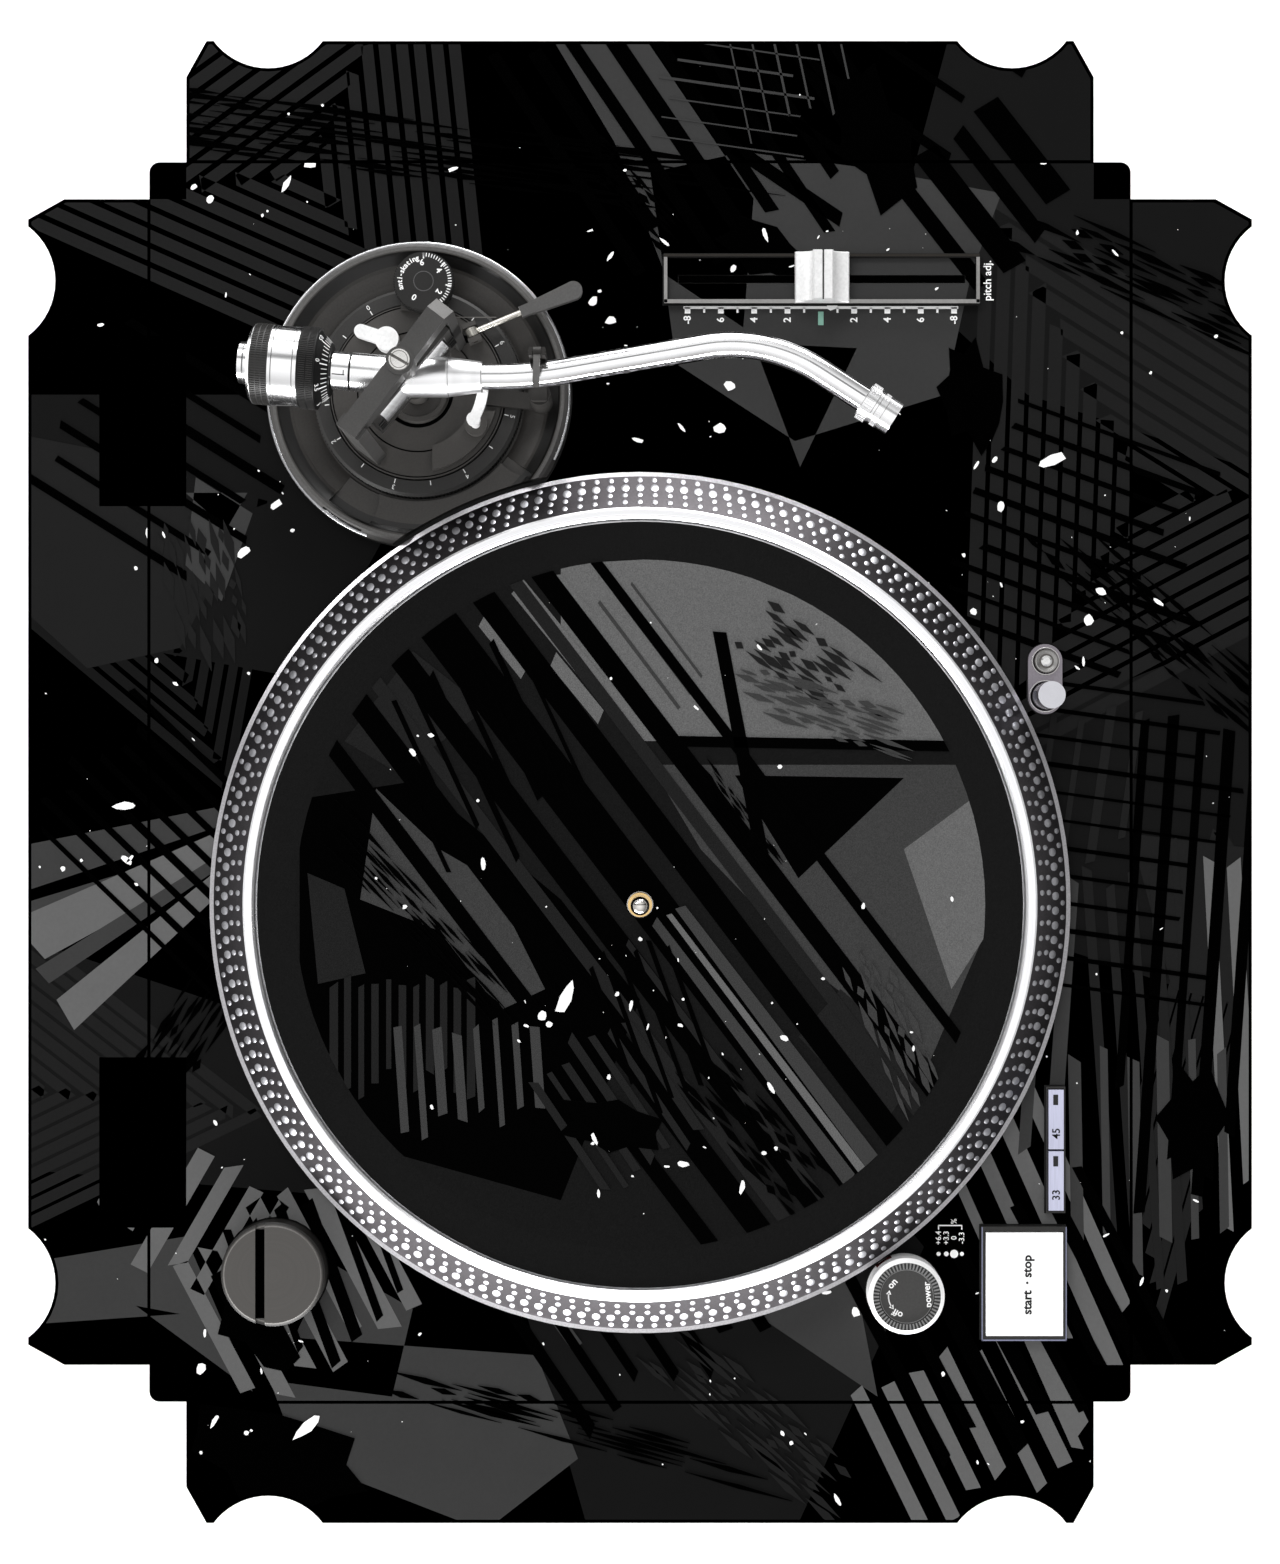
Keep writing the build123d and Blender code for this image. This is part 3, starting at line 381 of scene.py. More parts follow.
class Piece:
    """Collects closed solids, in millimetres, into one mesh with several finishes."""

    def __init__(self):
        self.verts = []
        self.faces = []
        self.slots = []

    def add(self, verts, faces, slot=0):
        start = len(self.verts)
        self.verts.extend(verts)
        for face in faces:
            self.faces.append([start + index for index in face])
            self.slots.append(slot)

    def prism(self, outline, low, high, slot=0):
        """Upright solid over a plan outline."""
        if len(outline) < 3:
            return
        if area_of(outline) < 0:
            outline = outline[::-1]
        count = len(outline)
        verts = [(x, y, low) for x, y in outline] + [(x, y, high) for x, y in outline]
        faces = [list(range(count))[::-1], list(range(count, 2 * count))]
        self.add(verts, faces + joined(2, count, flipped=True), slot)

    def box(self, centre, size, turn=0.0, slot=0, low=0.0, high=1.0):
        """Upright block by its plan centre, size and turn in degrees."""
        self.prism(turned_box(centre, size, turn), low, high, slot)

    def dome(self, place, normal, width, length, height, along_hint, sides=12):
        """Low rounded button on a surface."""
        normal = Vector(normal).normalized()
        first = Vector(along_hint).normalized()
        second = normal.cross(first)
        verts = []
        for share, lift in ((1.0, -0.3), (1.0, 0.35), (0.72, 0.8), (0.35, 1.0)):
            for i in range(sides):
                angle = 2 * math.pi * i / sides
                spot = Vector(place) + first * (length / 2 * share * math.cos(angle))
                spot += second * (width / 2 * share * math.sin(angle)) + normal * (height * lift)
                verts.append(tuple(spot))
        faces = [list(range(sides))[::-1], list(range(3 * sides, 4 * sides))]
        self.add(verts, faces + joined(4, sides, flipped=True))

    def lathe(self, place, axis, profile, slot=0, steps=96):
        """Closed ring from (distance along the axis, radius) points."""
        frame_axes = axes_along(axis)
        verts = []
        for step in range(steps):
            angle = 2 * math.pi * step / steps
            for shift, radius in profile:
                local = Vector((radius * math.cos(angle), radius * math.sin(angle), shift))
                verts.append(tuple(Vector(place) + frame_axes @ local))
        self.add(verts, joined(steps, len(profile), closed=True), slot)

    def spun(self, centre, base, profile, slot=0, steps=96):
        """Closed ring about an upright line, from (height above the base, radius) points."""
        profile = [(base + lift, radius) for lift, radius in profile]
        self.lathe((*centre, 0), (0, 0, 1), profile, slot, steps)

    def pipe(self, path, radius, height, steps=40):
        """Closed round bar along a level path."""
        verts = []
        for index, place in enumerate(path):
            back, front = path[max(0, index - 1)], path[min(len(path) - 1, index + 1)]
            run = (front - back).normalized()
            for step in range(steps):
                angle = 2 * math.pi * step / steps
                across, up = radius * math.cos(angle), radius * math.sin(angle)
                verts.append((place.x - run.y * across, place.y + run.x * across, height + up))
        faces = [list(range(steps)), list(range(len(verts) - steps, len(verts)))[::-1]]
        self.add(verts, faces + joined(len(path), steps))

    def ribs(self, place, axis, radius, low, high, count, depth, share, slot=0):
        """Small bars round a cylinder, as a knurl or a ribbed grip."""
        frame_axes = axes_along(axis)
        half = math.tau / count * share / 2
        for step in range(count):
            angle = math.tau * step / count
            verts = []
            for shift in (low, high):
                for r, turn in ((radius - 0.15, -half), (radius - 0.15, half),
                                (radius + depth, half * 0.45), (radius + depth, -half * 0.45)):
                    a = angle + turn
                    local = Vector((r * math.cos(a), r * math.sin(a), shift))
                    verts.append(tuple(Vector(place) + frame_axes @ local))
            faces = [[0, 3, 2, 1], [4, 5, 6, 7], [0, 1, 5, 4], [1, 2, 6, 5], [2, 3, 7, 6], [3, 0, 4, 7]]
            self.add(verts, faces, slot)

    def text(self, words, matrix, size, slot=0, bold=0.0):
        """Raised generic lettering from the built-in font."""
        curve = bpy.data.curves.new("words", "FONT")
        curve.body = words
        curve.size = size
        curve.extrude = LETTER_LIFT
        curve.offset = bold
        curve.resolution_u = 3
        curve.align_x = "CENTER"
        curve.align_y = "CENTER"
        holder = bpy.data.objects.new("words", curve)
        bpy.context.collection.objects.link(holder)
        graph = bpy.context.evaluated_depsgraph_get()
        mesh = bpy.data.meshes.new_from_object(holder.evaluated_get(graph))
        faces = [list(polygon.vertices) for polygon in mesh.polygons]
        self.add([tuple(matrix @ vertex.co) for vertex in mesh.vertices], faces, slot)
        bpy.data.objects.remove(holder)
        bpy.data.meshes.remove(mesh)

    def make(self, name, body, finishes, replaces=(), smooth=0.0):
        """Turns the collection into an object that rides on a CAD body."""
        mesh = bpy.data.meshes.new(name)
        mesh.from_pydata([(x * MM, y * MM, z * MM) for x, y, z in self.verts], [], self.faces)
        for finish in finishes:
            mesh.materials.append(finish)
        mesh.polygons.foreach_set("material_index", self.slots)
        mesh.validate()
        mesh.update()
        if smooth > 0:
            mesh.shade_smooth()
            mesh.set_sharp_from_angle(angle=math.radians(smooth))
        made = bpy.data.objects.new(name, mesh)
        bpy.context.collection.objects.link(made)
        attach(made, body)
        if replaces:
            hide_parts(*replaces)
        return made


def joined(rings, count, closed=False, flipped=False):
    """Quads that join each ring of points to the next, and the last to the first if closed."""
    quads = []
    for ring in range(rings if closed else rings - 1):
        near, far = ring * count, (ring + 1) % rings * count
        for i in range(count):
            j = (i + 1) % count
            if flipped:
                quads.append([near + i, near + j, far + j, far + i])
            else:
                quads.append([near + i, far + i, far + j, near + j])
    return quads


def axes_along(axis):
    """3 by 3 matrix whose third column is the axis."""
    third = Vector(axis).normalized()
    hint = Vector((0, 0, 1)) if abs(third.z) < 0.9 else Vector((1, 0, 0))
    first = hint.cross(third).normalized()
    second = third.cross(first)
    return Matrix((first, second, third)).transposed()


def turned_box(centre, size, turn=0.0):
    c, s = math.cos(math.radians(turn)), math.sin(math.radians(turn))
    half_x, half_y = size[0] / 2, size[1] / 2
    corners = [(-half_x, -half_y), (half_x, -half_y), (half_x, half_y), (-half_x, half_y)]
    return [(centre[0] + x * c - y * s, centre[1] + x * s + y * c) for x, y in corners]


def circle(centre, radius, steps=48):
    turns = [2 * math.pi * i / steps for i in range(steps)]
    return [(centre[0] + radius * math.cos(a), centre[1] + radius * math.sin(a)) for a in turns]


def polar(centre, radius, degrees):
    turn = math.radians(degrees)
    return centre[0] + radius * math.cos(turn), centre[1] + radius * math.sin(turn)


def edges(outline):
    return zip(outline, outline[1:] + outline[:1])


def area_of(outline):
    """Signed area, positive when the outline runs counter-clockwise."""
    return sum(a[0] * b[1] - b[0] * a[1] for a, b in edges(outline)) / 2


def left_of(outline, a, b):
    """Part of a convex outline on the left of the line from a to b."""
    kept = []
    for p, q in edges(outline):
        side_p = (b[0] - a[0]) * (p[1] - a[1]) - (b[1] - a[1]) * (p[0] - a[0])
        side_q = (b[0] - a[0]) * (q[1] - a[1]) - (b[1] - a[1]) * (q[0] - a[0])
        if side_p >= 0:
            kept.append(p)
        if side_p * side_q < 0:
            share = side_p / (side_p - side_q)
            kept.append((p[0] + share * (q[0] - p[0]), p[1] + share * (q[1] - p[1])))
    return kept if len(kept) > 2 and area_of(kept) > SLIVER else []


def clip(outline, window):
    """Part of a convex outline inside a convex window."""
    for a, b in edges(window):
        outline = left_of(outline, a, b)
        if not outline:
            return []
    return outline


def punch(outlines, hole):
    """Parts of convex outlines outside a convex hole."""
    kept = []
    for inside in outlines:
        for a, b in edges(hole):
            outside = left_of(inside, b, a)
            if outside:
                kept.append(outside)
            inside = left_of(inside, a, b)
            if not inside:
                break
    return kept


def flat_text(place, height, turn=0.0):
    """Matrix for lettering that lies level, reading along its turned X axis."""
    return Matrix.Translation((*place, height)) @ Matrix.Rotation(math.radians(turn), 4, "Z")


# ---- printed artwork: angular stripes, nested vees, shards and flecks --------------------
INK_BLACK, INK_DEEP, INK_DARK, INK_MID, INK_LIGHT, INK_WHITE = range(6)
FILM = 0.02                     # ink thickness, in millimetres
FILM_STEP = 0.012               # extra for each colour laid over another
FILM_SUNK = 0.03                # how far the film's foot lies under the face


class Artwork:
    """List of inked outlines in plan, later clipped to each printed panel."""

    def __init__(self, seed):
        self.shapes = []
        self.random = random.Random(seed)
        self.clear = []              # rectangles kept free of flecks, as x from, x to, y from, y to
        self.layer = 0

    def shape(self, outline, ink):
        """Adds an outline, as triangles about its middle if it isn't convex."""
        if self.shapes and self.shapes[-1][1] != ink:
            self.layer += 1
        if area_of(outline) < 0:
            outline = outline[::-1]
        pieces = [outline]
        turns = zip(outline, outline[1:] + outline[:1], outline[2:] + outline[:2])
        if any(area_of(list(corner)) < 0 for corner in turns):
            middle = tuple(sum(p[i] for p in outline) / len(outline) for i in (0, 1))
            pieces = [[middle, p, q] for p, q in edges(outline)]
        for piece in pieces:
            if area_of(piece) > SLIVER:
                self.shapes.append((piece, ink, self.layer))

    def stripe(self, start, end, width, ink, taper=1.0):
        """Straight bar from start to end, its far end scaled by taper."""
        dx, dy = end[0] - start[0], end[1] - start[1]
        length = math.hypot(dx, dy)
        nx, ny = -dy / length * width / 2, dx / length * width / 2
        slant = self.random.uniform(-0.8, 0.8) * width
        sx, sy = dx / length * slant, dy / length * slant
        self.shape([
            (start[0] + nx + sx, start[1] + ny + sy),
            (start[0] - nx, start[1] - ny),
            (end[0] - nx * taper, end[1] - ny * taper),
            (end[0] + nx * taper + sx, end[1] + ny * taper + sy),
        ], ink)

    def hatch(self, start, degrees, step_degrees, count, pitch, width, length, ink):
        """Parallel bars of uneven length and width."""
        for index in range(count):
            base = polar(start, pitch * index, step_degrees)
            near = polar(base, self.random.uniform(0, 0.12) * length, degrees)
            far = polar(base, length * self.random.uniform(0.72, 1.0), degrees)
            self.stripe(near, far, width * self.random.uniform(0.65, 1.25), ink)

    def vees(self, apex, degrees, half_angle, count, pitch, width, reach, ink):
        """Nested V outlines that open along a direction."""
        for index in range(count):
            tip = polar(apex, pitch * index, degrees)
            for side in (-1, 1):
                turn = degrees + side * half_angle
                self.stripe(polar(tip, -width * 0.4, degrees), polar(tip, reach, turn), width, ink)

    def triangles(self, centre, degrees, count, outer, pitch, width, ink):
        """Concentric triangle outlines."""
        for index in range(count):
            radius = outer - pitch * index
            corners = [polar(centre, radius, degrees + 120 * i) for i in range(3)]
            for a, b in edges(corners):
                self.stripe(a, b, width, ink)

    def shard(self, centre, size, degrees, ink, teeth=9, stretch=1.8):
        """Torn, angular patch."""
        outline = []
        for index in range(teeth * 2):
            angle = 360.0 * index / (teeth * 2)
            radius = size * (1.0 if index % 2 else self.random.uniform(0.62, 0.9))
            radius *= self.random.uniform(0.82, 1.12)
            x = radius * stretch * math.cos(math.radians(angle))
            y = radius * math.sin(math.radians(angle))
            c, s = math.cos(math.radians(degrees)), math.sin(math.radians(degrees))
            outline.append((centre[0] + x * c - y * s, centre[1] + x * s + y * c))
        self.shape(outline, ink)

    def brush(self, start, end, width, ink, strands=9):
        """Dry-brush stroke: ragged strands side by side."""
        dx, dy = end[0] - start[0], end[1] - start[1]
        length = math.hypot(dx, dy)
        ux, uy = dx / length, dy / length
        for index in range(strands):
            offset = (index / (strands - 1) - 0.5) * width
            near = self.random.uniform(-0.1, 0.25) * length
            while near < length:
                run = self.random.uniform(0.08, 0.4) * length
                half = width / strands * self.random.uniform(0.3, 0.75)
                wobble = self.random.uniform(-0.3, 0.3) * width / strands
                shift = offset + wobble
                a = (start[0] + ux * near - uy * shift, start[1] + uy * near + ux * shift)
                b = (a[0] + ux * run, a[1] + uy * run)
                middle = ((a[0] + b[0]) / 2, (a[1] + b[1]) / 2)
                self.shape([a, (middle[0] + uy * half, middle[1] - ux * half), b,
                            (middle[0] - uy * half, middle[1] + ux * half)], ink)
                near += run * self.random.uniform(0.9, 1.5)

    def flecks(self, low, high, count, size):
        """Small torn specks scattered over a rectangle."""
        for _ in range(count):
            x = self.random.uniform(low[0], high[0])
            y = self.random.uniform(low[1], high[1])
            if any(a <= x <= b and c <= y <= d for a, b, c, d in self.clear):
                continue
            radius = size * self.random.uniform(0.2, 1.0) ** 2.2
            turn = self.random.uniform(0, 360)
            stretch = self.random.choice((1.0, 1.3, 1.8, 3.2))
            outline = []
            for i in range(8):
                angle = 2 * math.pi * i / 8
                r = radius * self.random.uniform(0.7, 1.1)
                px, py = r * stretch * math.cos(angle), r * math.sin(angle)
                c, s = math.cos(math.radians(turn)), math.sin(math.radians(turn))
                outline.append((x + px * c - py * s, y + px * s + py * c))
            self.shape(outline, INK_WHITE)

    def print_on(self, piece, window, holes, top):
        """Adds what lies inside the window and outside the holes, as film on a level face."""
        for outline, ink, layer in self.shapes:
            kept = clip(outline, window)
            if not kept:
                continue
            found = [kept]
            for hole in holes:
                found = punch(found, hole)
            for shape in found:
                piece.prism(shape, top - FILM_SUNK, top + FILM + FILM_STEP * layer, ink)


# ---- inks and CAD finishes -----------------------------------------------------------------
def grey(level, warm=0.0):
    """Linear grey from a 0 to 255 print level, slightly warm if asked."""
    share = level / 255
    linear = share / 12.92 if share < 0.04 else ((share + 0.055) / 1.055) ** 2.4
    return linear * (1 + warm), linear, linear * (1 - warm)


INK_LEVELS = (1, 20, 28, 54, 90, 246)


def vinyl(name, level):
    """Matt laminated print on vinyl: fine orange peel and slight unevenness in the ink."""
    material = grained(name, grey(level), 0.5, grain=700.0, mottle=0.05, relief=0.04, depth=0.03)
    material.node_tree.nodes["Principled BSDF"].inputs["Specular IOR Level"].default_value = 0.0
    return material


def dress(material, *nodes):
    """Gives CAD nodes a finish."""
    for name in nodes:
        for slot in frame["nodes"][name].material_slots:
            slot.material = material


SILVER = (0.80, 0.80, 0.82)
BRIGHT = (0.92, 0.92, 0.93)


def unit(degrees):
    return math.cos(math.radians(degrees)), math.sin(math.radians(degrees))


REAR_DEG = 85.0                 # direction of the counterweight shaft in plan
COLLAR_DEG = -122.7             # direction of the tube's far end
TILT_DEG = -40.0                # direction of the tilt axis
REAR = unit(REAR_DEG)
COLLAR = unit(COLLAR_DEG)


def dress_cabinet():
    """Case, base, feet, rear and the pieces held inside."""
    dress(grained("charcoal_paint", grey(40), 0.42, grain=1300.0, relief=0.12), "cabinet")
    rubber = grained("black_rubber", grey(26), 0.85, grain=500.0, relief=0.3, depth=0.2)
    dress(rubber, "base_tray", "foot_pads")
    dress(grained("foot_alloy", SILVER, 0.32, 1.0, relief=0.08), "foot_shells")
    dress(grained("zinc", (0.55, 0.56, 0.6), 0.4, 1.0), "base_fasteners")
    black = grained("panel_black", grey(30), 0.5)
    dress(black, "rear_panel", "power_inlet", "power_switch", "key_switches")
    dress(grained("gilt", (0.83, 0.62, 0.3), 0.3, 1.0), "signal_sockets", "contact_pins")
    dress(grained("lamination", (0.3, 0.31, 0.33), 0.5, 1.0, grain=300.0), "transformer")
    dress(grained("ferrite", grey(50), 0.6), "rotor_magnet")
    dress(grained("copper", (0.72, 0.33, 0.16), 0.4, 1.0, grain=400.0), "motor_stator")
    dress(grained("board_green", (0.02, 0.11, 0.04), 0.4, grain=300.0, mottle=0.3), "circuit_boards")
    steel = grained("bearing_steel", (0.6, 0.6, 0.62), 0.3, 1.0)
    dress(steel, "spindle_bearing", "arm_guide", "weight_sleeve")
    dress(grained("potentiometer_case", (0.35, 0.35, 0.36), 0.45, 1.0), "fader_potentiometer")


PLATTER_LAND_R = 150.6          # outer edge of the platter's top land
PLATTER_RIM_R = 164.3           # foot of the dotted slope
SLOPE_TOP = PLATTER_TOP - 0.6
SLOPE_FALL = 14.0               # height of the dotted slope
PLATTER_METAL = (0.93, 0.93, 0.95)


def dress_platter():
    """Turned land and lip, dark sloping band, and four rows of raised dots."""
    zones = [
        ("radius", PLATTER_LAND_R, PLATTER_RIM_R, (0.062, 0.058, 0.062), 0.34, 1.0),
        ("radius", PLATTER_RIM_R, 170.0, (0.5, 0.49, 0.51), 0.3, 1.0),
    ]
    dress(turned_metal("platter_metal", PLATTER_METAL, 0.3, SPINDLE, relief=0.02, dark=zones), "platter")
    dress(grained("chrome", (0.75, 0.72, 0.68), 0.12, 1.0, grain=300.0, relief=0.01), "spindle")
    dress(grained("brass", (0.78, 0.55, 0.25), 0.3, 1.0, grain=300.0), "spindle_collar")
    width = PLATTER_RIM_R - PLATTER_LAND_R
    slope = math.hypot(width, SLOPE_FALL)
    dots = Piece()
    rows = (                     # plan radius, dots, across, along the slope
        (162.5, 184, 2.1, 2.9),
        (159.1, 178, 3.2, 4.5),
        (156.0, 171, 2.1, 2.8),
        (152.9, 167, 2.1, 2.8),
    )
    for radius, count, across, down in rows:
        height = SLOPE_TOP - (radius - PLATTER_LAND_R) * SLOPE_FALL / width
        for step in range(count):
            turn = 360.0 * step / count
            cx, cy = unit(turn)
            x, y = polar(SPINDLE, radius, turn)
            normal = (cx * SLOPE_FALL / slope, cy * SLOPE_FALL / slope, width / slope)
            dots.dome((x, y, height), normal, down, across, 0.32, (-cy, cx, 0), sides=12)
    silver = grained("dot_silver", (0.54, 0.54, 0.57), 0.42, 1.0, relief=0.02)
    dots.make("platter_dots", "platter", [silver], smooth=50)


PRINT_R = 130.8                 # printed disc on the slipmat
HOLE_R = 5.3
MAT_FIELDS = (                  # ink, then corners measured from the spindle
    (INK_BLACK, (40, 129), (47, 84), (2, 30), (-36, 0), (-112, 30), (-93, 98), (-36, 129)),
    (INK_LIGHT, (129, 30), (132, -23), (108, -80), (78, -114), (62, -121), (62, 0), (100, 30)),
    (INK_MID, (53, -4), (53, -131), (-10, -131), (-59, -110), (-30, -72), (21, -23)),
    (INK_LIGHT, (21, -100), (44, -131), (-10, -132), (-32, -118)),
    (INK_BLACK, (49, -36), (48, -100), (10, -60)),
    (INK_DARK, (-32, -76), (-60, -108), (-84, -92), (-50, -60)),
    (INK_MID, (44, 100), (21, 76), (10, 57), (-32, 36), (-40, 53), (-10, 76), (2, 106)),
    (INK_DARK, (12, 126), (6, 112), (-26, 104), (-30, 122)),
    (INK_DARK, (96, 86), (74, 58), (50, 92), (62, 112)),
)
MAT_BARS = (                    # near end, far end, width
    ((120, 46), (82, 15), 7),
    ((108, 58), (88, 42), 8),
    ((92, 32), (70, 14), 5),
    ((126, 34), (110, 20), 5),
)
MAT_BEAMS = (                   # shift across the disc, width, ink
    (0, 16, INK_BLACK), (20, 9, INK_BLACK), (33, 5, INK_DARK), (43, 8, INK_BLACK), (-19, 9, INK_BLACK),
    (-32, 5, INK_DARK), (-42, 9, INK_BLACK), (-60, 6, INK_BLACK), (62, 4, INK_BLACK),
)
MAT_RAYS = ((5, 3.4, INK_MID), (11, 2.0, INK_LIGHT), (16, 3.8, INK_MID), (-8, 2.2, INK_DARK))
MAT_HATCHES = (                 # start, direction, step direction, bars, pitch, width, length, ink
    ((-26, 116), 180, -90, 11, 5.2, 2.6, 50, INK_DARK),
    ((-44, 92), 184, -88, 8, 7.4, 3.0, 46, INK_MID),
    ((-62, 44), 214, -56, 7, 7.0, 3.2, 62, INK_DARK),
    ((80, 104), 205, -64, 8, 8.6, 2.0, 84, INK_BLACK),
    ((-20, 20), 200, -70, 6, 6.0, 1.6, 70, INK_BLACK),
)
MAT_BRUSHES = (                 # start, end, width, ink, strands
    ((108, -40), (84, -74), 20, INK_DARK, 9),
    ((84, -40), (66, -92), 16, INK_MID, 9),
    ((52, -22), (22, -44), 10, INK_BLACK, 9),
    ((-60, -20), (-104, -60), 20, INK_BLACK, 9),
    ((30, 116), (-30, 60), 14, INK_BLACK, 9),
    ((-20, -84), (-66, -104), 16, INK_MID, 7),
)
MAT_FLECKS = (                  # lowest corner, highest corner, number, size
    ((-120, -120), (120, 120), 60, 1.0),
    ((-110, -60), (-10, 20), 34, 1.4),
    ((-50, 26), (-34, 52), 6, 2.4),
)


def from_spindle(point):
    return SPINDLE[0] + point[0], SPINDLE[1] + point[1]


def mat_art():
    """Angular print with wide fields of tone and dark beams across the disc."""
    art = Artwork(41)
    art.shape(circle(SPINDLE, PRINT_R, 96), INK_DEEP)
    for ink, *outline in MAT_FIELDS:
        art.shape([from_spindle(point) for point in outline], ink)
    for near, far, width in MAT_BARS:
        art.stripe(from_spindle(near), from_spindle(far), width, INK_LIGHT)
    art.hatch(from_spindle((118, 18)), 217, -53, 3, 7.0, 1.4, 60, INK_MID)
    beams = (MAT_BEAMS, (116, 84), (-110, -88), 1.0)
    rays = (MAT_RAYS, (-10, -2), (-108, -76), 1.7)
    for rows, near, far, taper in (beams, rays):
        near, far = from_spindle(near), from_spindle(far)
        for shift, width, ink in rows:
            dx, dy = 0.6 * shift, -0.8 * shift
            art.stripe((near[0] + dx, near[1] + dy), (far[0] + dx, far[1] + dy), width, ink, taper)
    art.stripe(from_spindle((104, -30)), from_spindle((20, -46)), 5, INK_BLACK)
    art.stripe(from_spindle((62, -12)), from_spindle((60, -122)), 4, INK_BLACK)
    for start, *row in MAT_HATCHES:
        art.hatch(from_spindle(start), *row)
    for start, end, *row in MAT_BRUSHES:
        art.brush(from_spindle(start), from_spindle(end), *row)
    art.shard(from_spindle((-84, 10)), 12, 80, INK_BLACK, 6)
    for low, high, count, size in MAT_FLECKS:
        art.flecks(from_spindle(low), from_spindle(high), count, size)
    return art


def dress_slipmat():
    """Felt with a plain border and an angular print."""
    dress(felt("mat_border", grey(21)), "slipmat")
    inks = [felt(f"mat_ink_{level}", grey(level)) for level in INK_LEVELS]
    printed = Piece()
    mat_art().print_on(printed, circle(SPINDLE, PRINT_R, 96), [circle(SPINDLE, HOLE_R, 24)], MAT_TOP)
    printed.make("slipmat_print", "slipmat", inks)


def stadium(centre, length, width):
    """Slot outline along X."""
    steps = 12                   # on each round end
    reach = (length - width) / 2
    points = []
    for side, start in ((1, -90), (-1, 90)):
        for step in range(steps + 1):
            turn = start + 180 * step / steps
            points.append(polar((centre[0] + side * reach, centre[1]), width / 2, turn))
    return points


BORDER = 1.3                    # bare black edge round each flap
FOLD_LINE = 0.45                # bare black line beside each fold
CHAMFER_ALONG = 7.8
CHAMFER_OUT = 14.0
NOTCH_R = 26.5
NOTCH_BELOW = 16.0
NOTCH_X = 194.0
NOTCH_Y = 144.0
FOLD_GAP = 0.35                 # flap edge to cabinet side
CORNER_BLOCK = 14.3             # plain corner squares on the top sheet
HINGE_BLOCKS = (139.8, -139.6)  # plain patches where a lid's hinges stand
HINGE_LENGTH = 66.0
HINGE_NEAR = 175.7
HINGE_FAR = 209.4
PLATTER_CUT_R = 153.0           # the print stops short of every cut-out in the top sheet
ARM_CUT_R = 59.2
DIAL_CUT_R = 15.1
PUCK_CUT_R = 20.7
FADER_CUT = (20.1, 123.1)
START_CUT = (45.0, 33.8)
KEYS_CUT = (49.7, 8.3)
LIGHT_CUT = (28.0, 14.2)
TROUGH_LIFT = 1.3               # printed floor of the fader's trough, above the bezel's foot
TROUGH_HALF = 8.1
SLIT_HALF = 1.6                 # half the bare strip along the fader's slit


def flap_window(side, half, fold, edge):
    """Printed outline of a flap, drawn along +Y and turned to its side."""
    far = edge - BORDER
    end = half - BORDER
    points = [
        (-end, fold + FOLD_LINE),
        (end, fold + FOLD_LINE),
        (end, far - CHAMFER_OUT + 0.6),
        (end - CHAMFER_ALONG + 0.4, far),
        (-end + CHAMFER_ALONG - 0.4, far),
        (-end, far - CHAMFER_OUT + 0.6),
    ]
    return [turn_point(point, side) for point in points]


def turn_point(point, degrees):
    c, s = unit(degrees)
    return point[0] * c - point[1] * s, point[0] * s + point[1] * c


SKIN_FIELDS = (                 # quiet fields: ink, then corners in plan
    (INK_DEEP, (60, 240), (150, 240), (150, 120), (100, 96), (40, 130)),
    (INK_DEEP, (290, -120), (200, -96), (150, -150), (120, -240), (290, -240)),
    (INK_DEEP, (-150, 60), (-290, 20), (-290, -60), (-180, -110), (-120, -60)),
    (INK_DEEP, (20, -140), (60, -240), (-90, -240), (-60, -150)),
    (INK_DEEP, (-60, 240), (-150, 240), (-160, 120), (-90, 150)),
)
SKIN_TRIANGLES = (              # centre, direction, number, outer radius, pitch, width, ink
    ((236, 128), 96, 9, 122, 13.5, 4.6, INK_DARK),
    ((112, -196), 148, 9, 130, 14.0, 5.2, INK_DARK),
    ((64, 184), 200, 6, 70, 11.0, 3.6, INK_DEEP),
)
SKIN_VEES = (                   # apex, direction, half angle, number, pitch, width, reach, ink
    ((-128, 150), 84, 32, 10, 10.5, 4.2, 190, INK_DARK),
    ((-20, -224), -172, 24, 7, 12.0, 4.0, 120, INK_DARK),
)
SKIN_PATCHES = (                # middle greys: ink, then corners in plan
    (INK_MID, (288, 34), (288, -2), (226, -44), (176, -40), (196, -10), (248, 10)),
    (INK_MID, (236, -4), (244, -40), (238, -86), (228, -140), (196, -128), (150, -118), (132, -60),
     (162, -14)),
    (INK_MID, (170, -44), (122, -62), (168, -84)),
    (INK_DARK, (134, 237), (126, 196), (92, 158), (52, 178), (44, 214), (66, 238)),
    (INK_MID, (118, 172), (104, 150), (70, 162), (84, 176)),
    (INK_MID, (112, 176), (112, 152), (98, 160)),
    (INK_DARK, (-20, -190), (-26, -240), (-88, -240), (-80, -206)),
    (INK_MID, (-214, 150), (-222, 40), (-262, 24), (-290, 60), (-262, 132)),
    (INK_MID, (-186, 236), (-210, 236), (-206, 178), (-236, 150), (-176, 176)),
    (INK_MID, (-150, -10), (-196, -30), (-238, -92), (-196, -84)),
    (INK_MID, (-186, 120), (-232, 142), (-238, 96), (-204, 88)),
)
FAN = (-8, 128)                 # where the light fan of stripes starts
FAN_STRIPES = (                 # direction, width, ink
    (104, 12, INK_MID), (110, 6, INK_MID), (116, 10, INK_LIGHT), (123, 4, INK_MID), (131, 7, INK_LIGHT),
)
